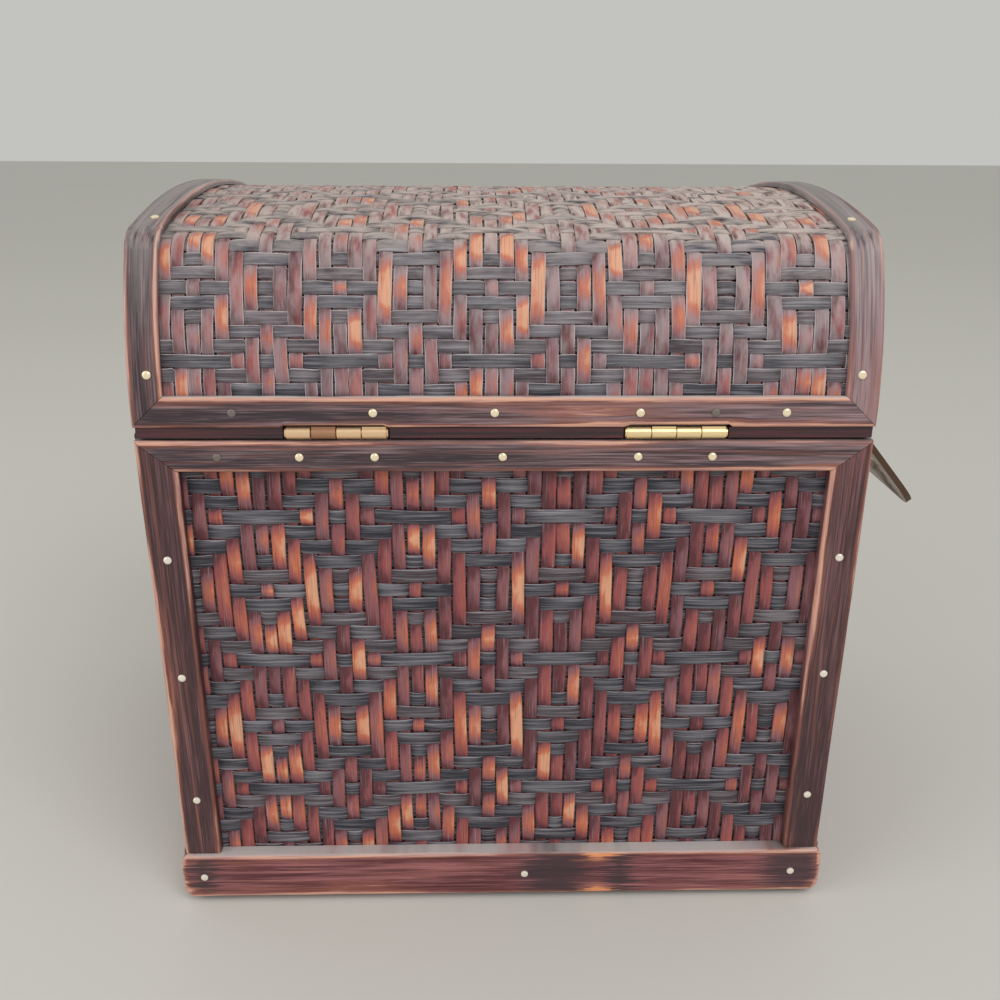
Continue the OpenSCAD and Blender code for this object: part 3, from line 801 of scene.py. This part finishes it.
# Step between the strips' numbers, which sets their noise apart
NUMBER_STEP = 7.3
# How far the level strips are rubbed, which pales the middle of their floats with wear and a painted sheen
WEFT_RUB = 0.2
# How far a wall's upright strips are rubbed, the change to its right edge, and the change up the stretch
# by the top rail, whose start and span are shares of the rim's height
WALL_RUB, WALL_RUB_RIGHT, WALL_RUB_TOP = 0.02, -0.2, -0.15
SHIELD_FROM, SHIELD_SPAN = 0.85, 0.1
# The same for the lid, with the change away from a level between its rim at 0 and its crown at 1
LID_RUB, LID_RUB_RIGHT, LID_RUB_AWAY, LID_RUB_LEVEL = 0.3, 0.08, -2.6, 0.55
# Room beside a hinge's leaf and over it, and how far a lid end's sheet is hidden and trimmed
LEAF_ROOM = 3 * MM
LEAF_TOP = 1 * MM
HIDDEN = 2 * MM
TRIM = 1 * MM

# One family of strips: the place of a flower's middle, the pitch, the lowest and highest place of a strip,
# and the span of the strip at a place
Strips = collections.namedtuple("Strips", "centre pitch lowest highest span")


def warp_on_top(warp, weft):
    """Traditional diamond twill: whether the upright strip shows at a crossing."""
    across = warp % REPEAT
    up = weft % REPEAT
    across = min(across, REPEAT - across)
    up = min(up, REPEAT - up)
    if (across, up) in ((REPEAT // 2, 0), (0, REPEAT // 2)):
        return False
    return across + up in WARP_OVER


def strip_rows(start, end, centre, pitch, shows, draw, rise, bias):
    """Rows of a strip that bends over and under the others: along, height, tone and shift aside."""
    index = math.floor((start - centre) / pitch + 0.5)
    last = math.ceil((end - centre) / pitch - 0.5)
    rows = [(start, 0.0, 0.0, 0.0)]
    while index <= last:
        over = shows(index)
        count = 1
        while index + count <= last and shows(index + count) == over:
            count += 1
        low = centre + (index - 0.5) * pitch
        half = count * pitch / 2
        least, more, most = FLOAT_RISE
        height = rise * (least + more * min(count, most)) * draw.uniform(*HEIGHTS)
        plain = draw.uniform(*PLAIN_TONES)
        wear = draw.uniform(*WEARS) + WEAR_PER_CROSSING * (count - USUAL_COUNT)
        aside = draw.uniform(*SHIFTS) * MM
        tilt = draw.uniform(*TILTS) * half
        for share in SHORT_FLOAT if count < LONG_COUNT else LONG_FLOAT:
            along = low + half * (1 + share)
            level = (1 - abs(share) ** 3) * (height if over else -height)
            rub = max(wear + bias(along), 0.0) * (1 - share**2) if over else 0.0
            if rows[-1][0] + ROW_GAP < along < end - ROW_GAP:
                # Painted shade darkens the float's ends
                tone = min(max(plain - SHADED_ENDS * share**2 + rub, 0), 1)
                rows.append((along, level, tone, aside + tilt * share))
        index += count
    rows.append((end, *rows[-1][1:]))
    rows[0] = (start, *rows[1][1:])
    return rows


def plait(name, body, nodes, place, warps, wefts, warp_bias, finishes, look):
    """Plaits a sheet of upright and level strips, each family one piece.

    Place maps across, along and out to a point and the way out. Warps and wefts are the two families.
    Warp bias gives how far the upright strips are rubbed at a place. Finishes are the warps' and the
    wefts'.
    """
    families = (("warps", warps, wefts, finishes[0]), ("wefts", wefts, warps, finishes[1]))
    for kind, own, other, finish in families:
        draw = random.Random(f"{look.seed} {name} {kind}")
        sheet = Sheet()
        first = math.ceil((own.lowest - own.centre) / own.pitch)
        last = math.floor((own.highest - own.centre) / own.pitch)
        for index in range(first, last + 1):
            lay_plait_strip(sheet, kind == "warps", index, own, other, place, warp_bias, draw, look)
        sheet.piece(f"{name}_{kind}", finish, body, nodes, PLAIT_SHARP)


def lay_plait_strip(sheet, upright, index, own, other, place, warp_bias, draw, look):
    """Lays one strip of a plait over and under the other family, unless it is too short."""
    middle = own.centre + index * own.pitch
    start, end = own.span(middle)
    if end - start <= own.pitch:
        return
    sway = draw.uniform(*SWAYS) * MM
    phase = draw.uniform(0, 2 * math.pi)
    half = own.pitch * look.strip_share / 2 * draw.uniform(*WIDTHS)
    own_bias = draw.uniform(*STRIP_WEARS)

    def shows(crossing):
        return warp_on_top(index, crossing) if upright else not warp_on_top(crossing, index)

    def bias(along):
        return own_bias + (warp_bias(middle, along) if upright else WEFT_RUB)

    rise = look.rise if upright else look.rise * LEVEL_RISE
    rows = strip_rows(start, end, other.centre, other.pitch, shows, draw, rise, bias)
    widths = [draw.uniform(*ROW_WIDTHS) for _ in rows]
    number = index * NUMBER_STEP

    def spot(column, row):
        along, level, tone, shift = rows[row]
        offset, edge, drop = STRIP_COLUMNS[column]
        bend = sway * math.sin(phase + along * SWAY_RATE)
        across = middle + shift + offset * half * widths[row] + bend
        if upright:
            # Painted highlight: brighter towards the strip's right side
            tone += LIT_SIDE * offset
        # The lower edge gets less: the upper edge carries wear and a painted highlight
        elif offset < 0:
            edge *= LOWER_EDGE
        out = level + look.strip_thickness / 2 - drop
        point, outward = place(across, along, out) if upright else place(along, across, out)
        return point, -outward * look.strip_thickness, (across, along, number), edge, tone, 0.0

    sheet.lay(len(STRIP_COLUMNS), len(rows), spot)


def wall_plait(wall, finishes, look):
    """The plaited sheet of one wall."""
    half = HALF_X - SLAT_T if wall in LONG_WALLS else END_HALF - WEAVE_T
    low = BASE_LOW + CLEAR
    high = RIM - CLEAR
    middle_in = SLAT_T + WEAVE_T / 2
    across_centre, up_centre = WALL_FLOWERS[wall]

    def place(across, along, out):
        return on_wall(wall, across, along, out - middle_in), WALLS[wall][2]

    def warp_bias(across, along):
        shielded = WALL_RUB_TOP * max(0.0, along - SHIELD_FROM * RIM) / (SHIELD_SPAN * RIM)
        return WALL_RUB + WALL_RUB_RIGHT * across / half + shielded

    edge = look.warp_pitch / 2
    warps = Strips(across_centre, look.warp_pitch, -half + edge, half - edge, lambda at: (low, high))
    wefts = Strips(up_centre, look.weft_pitch, low + edge, high - edge, lambda at: (-half, half))
    plait(f"{wall}_sheet", "body", [f"{wall}_weave"], place, warps, wefts, warp_bias, finishes, look)


def lid_plait(finishes, look):
    """The plaited sheet over the lid."""
    half = HALF_X - LID_SLAT_T - CLEAR
    middle_in = LID_SLAT_T + WEAVE_T / 2
    whole = arch_length(middle_in)
    rim = LID_RAIL_LOW - LID_RIM
    leaves = [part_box(f"{side}_hinge_body_leaf") for side in ("left", "right")]

    def spread(across):
        return across - LID_SPREAD * (half**2 - across**2)

    def place(across, along, out):
        point, way = arch_run(middle_in, along)
        outward = Vector((0, way.x, way.y))
        return Vector((-spread(across), point.x, point.y)) + outward * out, outward

    def span(across):
        x = -spread(across)
        behind_hinge = any(low.x - LEAF_ROOM < x < high.x + LEAF_ROOM for low, high in leaves)
        return (rim + LEAF_TOP if behind_hinge else CLEAR), whole - CLEAR

    def warp_bias(across, along):
        top = math.sin(math.pi * along / whole)
        away = LID_RUB_AWAY * (top - LID_RUB_LEVEL) ** 2
        return LID_RUB + LID_RUB_RIGHT * across / half + away

    edge = look.warp_pitch / 2
    across_centre, run_centre = LID_FLOWER
    warp_pitch = look.warp_pitch * LID_TIGHTER[0]
    weft_pitch = look.weft_pitch * LID_TIGHTER[1]
    warps = Strips(across_centre, warp_pitch, -half + edge, half - edge, span)
    wefts = Strips(run_centre, weft_pitch, rim + edge, whole - rim - edge, lambda at: (-half, half))
    plait("lid_sheet", "lid", ["lid_weave"], place, warps, wefts, warp_bias, finishes, look)


def lid_end_plait(wall, finishes, look):
    """The plaited sheet on one end of the lid, cut to the arch behind the end slat."""
    middle_in = LID_SLAT_T + WEAVE_T / 2
    hidden_in = LID_SLAT_T + WEAVE_T + HIDDEN
    low = LID_RIM + CLEAR
    half = HALF_Y - hidden_in

    def place(across, along, out):
        return on_wall(wall, across, along, out - middle_in), WALLS[wall][2]

    def top(across):
        crown = CROWN_C.y + math.sqrt((CROWN_R - hidden_in) ** 2 - across**2)
        off = abs(across) - SIDE_C.x
        side = SIDE_C.y + math.sqrt(max((SIDE_R - hidden_in) ** 2 - off**2, 0))
        return min(crown, side) - TRIM

    def reach(height):
        side = SIDE_C.x + math.sqrt((SIDE_R - hidden_in) ** 2 - max(height - SIDE_C.y, 0) ** 2)
        crown = math.sqrt(max((CROWN_R - hidden_in) ** 2 - (height - CROWN_C.y) ** 2, 0))
        return min(side, crown) - TRIM

    def weft_span(height):
        end = reach(height + edge)
        return -end, end

    def warp_bias(across, along):
        return 0.0

    edge = look.warp_pitch / 2
    crest = CREST - hidden_in
    across_centre, up_centre = LID_END_FLOWER
    warps = Strips(
        across_centre, look.warp_pitch, -half + edge, half - edge, lambda at: (low, top(at))
    )
    wefts = Strips(up_centre, look.weft_pitch, low + edge, crest - edge, weft_span)
    nodes = [f"lid_{wall}_weave"]
    plait(f"lid_{wall}_sheet", "lid", nodes, place, warps, wefts, warp_bias, finishes, look)


# Slats

# How far the fibres show at the start and the end of the slats on the back, with painted light: higher on
# the chest's left, where the key light stands
FIBRES_AND_LIGHT = {
    "back_upper_rail": (0.1, 0.3),
    "back_foot_rail": (0.2, 0.45),
    "back_right_post": (0.0, 0.0),
    "back_left_post": (0.0, 0.3),
    "lid_back_lower_rail": (0.1, 0.45),
    "lid_right_bent_band": (0.0, 0.0),
    "lid_left_bent_band": (0.8, 0.5),
}
# Range of how far the fibres show on the other slats, and of all slats' numbers, which set their noise
# apart
SHADE_RANGE = (0.05, 0.5)
NUMBERS = (0, 90)
# Share of a ledge's dust on a slat's last columns, counted from its upper side
LEDGE_SHARES = {1: 1.0, 2: 0.9, 3: 0.4}
# A rounded edge: turn from the side to the face, and edge mark
ROUNDED = ((0.0, 0.75), (0.55, 0.95), (1.1, 1.0), (math.pi / 2, 0.85))
# The face beside it: distance from the side in roundings, and edge mark
BESIDE = ((1.7, 0.35), (2.6, 0.12))
# The innermost column, as a share of the half width
INNER_COLUMN = 0.3
# The most that an edge is rounded, as shares of the half width and the thickness
MOST_ROUNDED = (0.4, 0.5)
# Edge mark of a bare end, and its length
END_WEAR = 1.35
BARE_END = 3 * MM
# Rows along a slat: their distance and least count, their distance and count at a rounded end, and how
# close they stand on both sides of a notch's end
ROW_STEP = 5 * MM
LEAST_ROWS = 8
END_STEP = 0.35 * MM
END_ROWS = 5
NOTCH_STEP = 0.05 * MM
# Rows along the side, the shoulder and the crown of the lid's arch
ARCH_ROWS = (9, 8, 9)


def slat_columns(half, rounding):
    """Across a slat with rounded outer edges: offset, edge mark, drop."""
    side = [
        (half - rounding * (1 - math.cos(turn)), edge, rounding * (1 - math.sin(turn)))
        for turn, edge in ROUNDED
    ]
    side += [(half - distance * rounding, edge, 0.0) for distance, edge in BESIDE]
    side.append((half * INNER_COLUMN, 0.0, 0.0))
    return [(-offset, edge, drop) for offset, edge, drop in side] + side[::-1]


@dataclasses.dataclass
class Slat:
    """One slat, laid by a place that maps across, share along and out to a point, way out, run.

    A level slat has a ledge, its upper edge. Bare ends are worn and rounded like its edges.
    """

    name: str
    body: str
    node: str
    half: float
    shares: list
    place: collections.abc.Callable
    thickness: float
    ledge: float = 0.0
    bare: float = 0.0

    def end_mark(self, share):
        """How near a row is to a bare end: 1 at the end, 0 inside."""
        return max(0.0, 1 - min(share, 1 - share) / self.bare) if self.bare else 0.0

    def build(self, finish, slot, look):
        """Makes the slat, with edges that wander as hand-cut ones do."""
        draw = random.Random(f"slat {self.name}")
        by_width, by_thickness = MOST_ROUNDED
        rounding = min(look.rounding, self.half * by_width, self.thickness * by_thickness)
        columns = slat_columns(self.half, rounding)
        number = draw.uniform(*NUMBERS)
        drawn = draw.uniform(*SHADE_RANGE)
        # Fibres, and painted light on the slats on the back
        first, last = FIBRES_AND_LIGHT.get(self.name, (drawn, drawn))
        wander = [0.0, 0.0]
        shifts = []
        for _ in self.shares:
            wander = [
                min(max(w + draw.uniform(-0.5, 0.5) * look.unevenness, 0), look.unevenness)
                for w in wander
            ]
            shifts.append(tuple(wander))

        def spot(column, row):
            across, edge, drop = columns[column]
            share = self.shares[row]
            end = self.end_mark(share)
            drop = max(drop, rounding * (1 - math.sqrt(1 - end**2)))
            low_shift, high_shift = shifts[row]
            pull = low_shift if across < 0 else -high_shift
            across += pull * abs(across) / self.half
            point, outward, run = self.place(across, share, -drop)
            inward = -outward * (self.thickness - drop)
            ledge = self.ledge * LEDGE_SHARES.get(len(columns) - column, 0.0)
            tone = first + (last - first) * share
            return point, inward, (across, run, number), max(edge, END_WEAR * end), tone, ledge

        sheet = Sheet()
        sheet.lay(len(columns), len(self.shares), spot)
        sheet.piece(self.name, finish, self.body, [self.node])


def even_shares(length):
    """Rows at even distances along a length, as shares of it."""
    count = max(LEAST_ROWS, round(length / ROW_STEP))
    return [i / count for i in range(count + 1)]


@dataclasses.dataclass
class LevelSlat:
    """Where a level slat lies on a wall: its edges, its half length at each, and its notches."""

    wall: str
    low: float
    high: float
    half_low: float
    half_high: float
    out: float = 0.0
    corner: float = 0.0
    notches: tuple = ()

    def half_at(self, height):
        """Half length at a height, less where a corner is rounded."""
        share = (height - self.low) / (self.high - self.low)
        half = self.half_low + (self.half_high - self.half_low) * share
        into = self.corner - min(height - self.low, self.high - height)
        if self.corner and into > 0:
            half -= self.corner - math.sqrt(max(self.corner**2 - into**2, 0))
        return half

    def place(self, across, share, drop):
        """Point, way out and run at a place on the slat."""
        height = (self.low + self.high) / 2 + across
        run = self.half_at(height) * (2 * share - 1)
        if across < 0 and any(first < run < last for first, last in self.notches):
            height -= NOTCH * across * 2 / (self.high - self.low)
        return on_wall(self.wall, run, height, self.out + drop), WALLS[self.wall][2], run

    def shares(self):
        """Rows along the slat, closer at the notches' and the rounded ends."""
        longest = max(self.half_low, self.half_high)
        rows = even_shares(2 * longest)
        for notch in self.notches:
            for edge in notch:
                rows += [(edge + step) / (2 * longest) + 0.5 for step in (-NOTCH_STEP, NOTCH_STEP)]
        if self.corner:
            near_end = [i * END_STEP / (2 * longest) for i in range(1, END_ROWS + 1)]
            rows += near_end + [1 - share for share in near_end]
        return sorted(rows)

    def slat(self, name, body, node, thickness):
        """The slat itself, with dust on its upper edge."""
        bare = BARE_END / (2 * self.half_low) if self.corner else 0.0
        half = (self.high - self.low) / 2
        return Slat(name, body, node, half, self.shares(), self.place, thickness, 1.0, bare)


def corner_slats():
    """The eight upright slats at the corners of the body."""
    foot = BASE_TOP + CLEAR / 4
    for wall in WALLS:
        half = HALF_X if wall in LONG_WALLS else END_HALF
        _, right, outward = WALLS[wall]
        for side in (-1, 1):
            way = right * side
            if wall in LONG_WALLS:
                node = f"{wall}_{'left' if way.x < 0 else 'right'}_slat"
            else:
                node = f"{wall}_{'back' if way.y > 0 else 'front'}_slat"
            middle = side * (half - POST_W / 2)

            def place(across, share, drop, wall=wall, side=side, middle=middle, outward=outward):
                inner = 0.5 - side * across / POST_W
                top = RIM - (RIM - TOP_RAIL_LOW) * inner - MITRE_DROP
                run = foot + (top - foot) * share
                return on_wall(wall, middle + across, run, drop), outward, run

            shares = even_shares(RIM - BASE_TOP)
            yield Slat(node.replace("slat", "post"), "body", node, POST_W / 2, shares, place, SLAT_T)


def arch_rows():
    """Shares along the arch: side, shoulder and crown, up and down again."""
    half = [part + i / rows for part, rows in enumerate(ARCH_ROWS) for i in range(rows)]
    return half + [3.0] + [6 - share for share in half[::-1]]


def lid_band(side):
    """The bent band over one end of the lid."""
    word = "left" if side < 0 else "right"
    middle = HALF_X - BAND_W / 2
    length = arch_length(0.0)

    def place(across, share, drop):
        inner = 0.5 - across / BAND_W
        first = (LID_RAIL_TOP - LID_RAIL_LOW) * inner + MITRE_DROP
        point, way = arch_share(0.0, share, first)
        outward = Vector((0, way.x, way.y))
        spot = Vector((side * (middle + across), point.x, point.y)) + outward * drop
        return spot, outward, length * share / 6

    name, node = f"lid_{word}_bent_band", f"lid_{word}_band"
    return Slat(name, "lid", node, BAND_W / 2, arch_rows(), place, LID_SLAT_T)


def lid_arch(side):
    """The flat arched slat on one end of the lid."""
    word = "left" if side < 0 else "right"
    middle = LID_SLAT_T + BAND_W / 2
    outward = Vector((side, 0, 0))
    length = arch_length(middle)

    def place(across, share, drop):
        inset = round(middle + across, 6)
        inner = 0.5 + across / BAND_W
        first = (LID_RAIL_TOP - LID_RAIL_LOW) * inner + MITRE_DROP
        point, _ = arch_share(inset, share, first)
        return Vector((side * (HALF_X + drop), point.x, point.y)), outward, length * share / 6

    name, node = f"lid_{word}_end_arch", f"lid_{word}_arch"
    return Slat(name, "lid", node, BAND_W / 2, arch_rows(), place, LID_SLAT_T)


# Operators


class CHEST_OT_sheets(bpy.types.Operator):
    """Plaits the walls' and the lid's sheets"""

    bl_idname = "chest.sheets"
    bl_label = "Plaited sheets"

    def execute(self, context):
        look = context.scene.chest_plait
        plain = (warp_finish("red strips", look, dusty=0), weft_finish("charcoal strips", look, dusty=0))
        # The lid's strips carry dust and a painted sheen
        dusty = (
            warp_finish("dusty red strips", look, dusty=1.0),
            weft_finish("dusty charcoal strips", look, dusty=0.95),
        )
        for wall in WALLS:
            wall_plait(wall, plain, look)
        lid_plait(dusty, look)
        for wall in ("left", "right"):
            lid_end_plait(wall, dusty, look)
        return {"FINISHED"}


class CHEST_OT_body_slats(bpy.types.Operator):
    """Makes the body's top rails and corner slats"""

    bl_idname = "chest.body_slats"
    bl_label = "Body slats"

    def execute(self, context):
        look = context.scene.chest_slats
        finish = slat_finish("dark slats", look, look.dark, look.grain, wear=1.2, dusty=0.25)
        for wall in WALLS:
            half = HALF_X if wall in LONG_WALLS else END_HALF
            rail = LevelSlat(wall, TOP_RAIL_LOW, RIM, half - POST_W, half)
            rail.slat(f"{wall}_upper_rail", "body", f"{wall}_top_rail", SLAT_T).build(
                finish, "dark_bamboo_slat", look
            )
        finish = slat_finish(
            "red corner slats", look, look.post_dark, look.post_grain, wear=1.0, dusty=0.0
        )
        for slat in corner_slats():
            slat.build(finish, "dark_bamboo_slat", look)
        return {"FINISHED"}


class CHEST_OT_base_rails(bpy.types.Operator):
    """Makes the red rails round the base"""

    bl_idname = "chest.base_rails"
    bl_label = "Base rails"

    def execute(self, context):
        look = context.scene.chest_slats
        red = {"dark": look.base_dark, "light": look.base_red, "wear": 1.4, "dusty": 0.95}
        plain = slat_finish("red base rails", look, **red)
        knotted = slat_finish("red base rail with a knot", look, **red, stains=STAINS, knots=[KNOT])
        for wall in WALLS:
            half = BASE_HALF_X if wall in LONG_WALLS else END_HALF
            corner = CORNER if wall in LONG_WALLS else 0.0
            rail = LevelSlat(wall, BASE_LOW, BASE_TOP, half, half, BASE_PROUD, corner)
            rail.slat(f"{wall}_foot_rail", "body", f"{wall}_base_rail", SLAT_T + BASE_PROUD).build(
                knotted if wall == "back" else plain, "red_bamboo_rail", look
            )
        return {"FINISHED"}


class CHEST_OT_lid_slats(bpy.types.Operator):
    """Makes the lid's rails, bent bands and end arches"""

    bl_idname = "chest.lid_slats"
    bl_label = "Lid slats"

    def execute(self, context):
        look = context.scene.chest_slats
        finish = slat_finish("dark lid slats", look, look.dark, look.grain, wear=1.7, dusty=1.0)
        bent = slat_finish("bent lid slats", look, look.dark, look.grain, wear=0.9, dusty=0.4)
        hinges = [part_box(f"{side}_hinge_pin") for side in ("left", "right")]
        notches = [(-high.x - CLEAR, -low.x + CLEAR) for low, high in hinges]
        for wall in WALLS:
            half = HALF_X if wall in LONG_WALLS else LID_END_HALF
            cuts = notches if wall == "back" else ()
            rail = LevelSlat(wall, LID_RAIL_LOW, LID_RAIL_TOP, half, half - BAND_W, notches=cuts)
            rail.slat(f"lid_{wall}_lower_rail", "lid", f"lid_{wall}_rail", LID_SLAT_T).build(
                finish, "dark_bamboo_slat", look
            )
        for side in (-1, 1):
            lid_band(side).build(bent, "dark_bamboo_slat", look)
            lid_arch(side).build(bent, "dark_bamboo_slat", look)
        return {"FINISHED"}


class CHEST_OT_fittings(bpy.types.Operator):
    """Finishes the nails, hinges, handles, rim strips and boards of the solids"""

    bl_idname = "chest.fittings"
    bl_label = "Fittings and boards"

    def execute(self, context):
        look = context.scene.chest_fittings
        slats = context.scene.chest_slats
        low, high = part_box("right_hinge_pin")
        middle = (low.x + high.x) / 2
        knuckle = (middle, middle + (high.x - low.x) / 4)
        # Painted shade above the hinges' barrels
        hinge = {"dull": look.tarnish, "metallic": 0.6, "painted_shade": look.hinge_shade}
        brass = metal_finish("thin brass", look.brass, roughness=0.32, dull_from=0.78, **hinge)
        copper = metal_finish(
            "coppery brass", look.copper, roughness=0.34, dull_from=0.8, patches=[knuckle], **hinge
        )
        nail = {"dull": look.dull_nail, "roughness": 0.3, "dull_from": 0.8, "metallic": 0.4}
        body_nails = metal_finish(
            "body nail heads", look.nail, low=look.silver, patches=BODY_DULL, **nail
        )
        lid_nails = metal_finish("lid nail heads", look.nail, low=look.silver, patches=LID_DULL, **nail)
        aged = handle_finish("aged brass", look.aged, look.aged_dark)
        board = (look.board, look.board_grain)
        along_x = board_finish("boards along X", *board, "board along X", slats.dark)
        along_y = board_finish("boards along Y", *board, "board along Y", slats.dark)
        # Dark rim strips: their own colour and painted shade of the recess under the lid's rails
        rim = board_finish("dark rim strips", look.rim, slats.base_dark, "rim strip")
        for name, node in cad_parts.items():
            if "nails" in name:
                finish = lid_nails if "lid" in name else body_nails
            elif "hinge" in name:
                finish = copper if "right" in name else brass
            elif "handle" in name:
                finish = aged
            elif "strip" in name:
                finish = rim
            elif name in ("left_board", "right_board", "lid_left_board", "lid_right_board"):
                finish = along_y
            elif "board" in name or name == "lid_shell":
                finish = along_x
            else:
                continue
            node.data.materials.clear()
            node.data.materials.append(finish)
        return {"FINISHED"}


class CHEST_OT_stage(bpy.types.Operator):
    """Sets the floor, the lights and the camera"""

    bl_idname = "chest.stage"
    bl_label = "Stage"

    def execute(self, context):
        look = context.scene.chest_stage
        shape = bmesh.new()
        bmesh.ops.create_grid(shape, x_segments=2, y_segments=2, size=FLOOR_HALF)
        mesh = bpy.data.meshes.new("floor")
        shape.to_mesh(mesh)
        shape.free()
        finish, tree, shader = new_finish("pale floor", roughness=0.85)
        shade = surface(tree, "Object").noise("floor")
        darker = tuple(c * 0.97 for c in look.floor)
        feed(shader, "Base Color", mixed(shade, look.floor, darker))
        mesh.materials.append(finish)
        floor = bpy.data.objects.new("floor", mesh)
        context.scene.collection.objects.link(floor)

        world = context.scene.world or bpy.data.worlds.new("studio")
        context.scene.world = world
        world.use_nodes = True
        back = world.node_tree.nodes["Background"]
        back.inputs["Color"].default_value = (*look.sky_colour, 1)
        back.inputs["Strength"].default_value = look.sky

        self.lamp(context, "key", *KEY_LIGHT, look.key_power)
        self.lamp(context, "fill", *FILL_LIGHT, look.fill_power)
        self.camera(context)
        context.scene.view_settings.view_transform = "Standard"
        return {"FINISHED"}

    def lamp(self, context, name, place, size, power):
        """Adds a soft light that points at the chest."""
        data = bpy.data.lights.new(name, "AREA")
        data.size = size
        data.energy = power
        made = bpy.data.objects.new(name, data)
        made.location = place
        aim = LIGHT_AIM - made.location
        made.rotation_euler = aim.to_track_quat("-Z", "Y").to_euler()
        context.scene.collection.objects.link(made)

    def camera(self, context):
        """Adds the camera and looks through it."""
        yaw, pitch, roll = (math.radians(a) for a in CAMERA_TURN)
        heading = Matrix.Rotation(math.pi - yaw, 4, "Z")
        tilt = Matrix.Rotation(math.pi / 2 - pitch, 4, "X")
        turn = heading @ tilt @ Matrix.Rotation(roll, 4, "Z")
        data = bpy.data.cameras.new("camera")
        data.sensor_width = LENS
        data.lens = LENS
        made = bpy.data.objects.new("camera", data)
        made.matrix_world = Matrix.Translation(CAMERA_PLACE) @ turn
        context.scene.collection.objects.link(made)
        context.scene.camera = made


OPERATORS = (
    CHEST_OT_sheets,
    CHEST_OT_body_slats,
    CHEST_OT_base_rails,
    CHEST_OT_lid_slats,
    CHEST_OT_fittings,
    CHEST_OT_stage,
)


class CHEST_PT_panel(bpy.types.Panel):
    """Lists the chest's steps"""

    bl_idname = "CHEST_PT_panel"
    bl_label = "Woven chest"
    bl_space_type = "VIEW_3D"
    bl_region_type = "UI"
    bl_category = "Chest"

    def draw(self, context):
        for operator in OPERATORS:
            self.layout.operator(operator.bl_idname)


SETTINGS = {
    "chest_plait": PlaitSettings,
    "chest_slats": SlatSettings,
    "chest_fittings": FittingSettings,
    "chest_stage": StageSettings,
}


def register():
    for name, group in SETTINGS.items():
        bpy.utils.register_class(group)
        setattr(bpy.types.Scene, name, bpy.props.PointerProperty(type=group))
    for item in (*OPERATORS, CHEST_PT_panel):
        bpy.utils.register_class(item)


def unregister():
    for item in (CHEST_PT_panel, *reversed(OPERATORS)):
        bpy.utils.unregister_class(item)
    for name, group in SETTINGS.items():
        delattr(bpy.types.Scene, name)
        bpy.utils.unregister_class(group)


def main():
    register()
    bpy.ops.chest.sheets()
    bpy.ops.chest.body_slats()
    bpy.ops.chest.base_rails()
    bpy.ops.chest.lid_slats()
    bpy.ops.chest.fittings()
    bpy.ops.chest.stage()


if __name__ == "__main__":
    main()
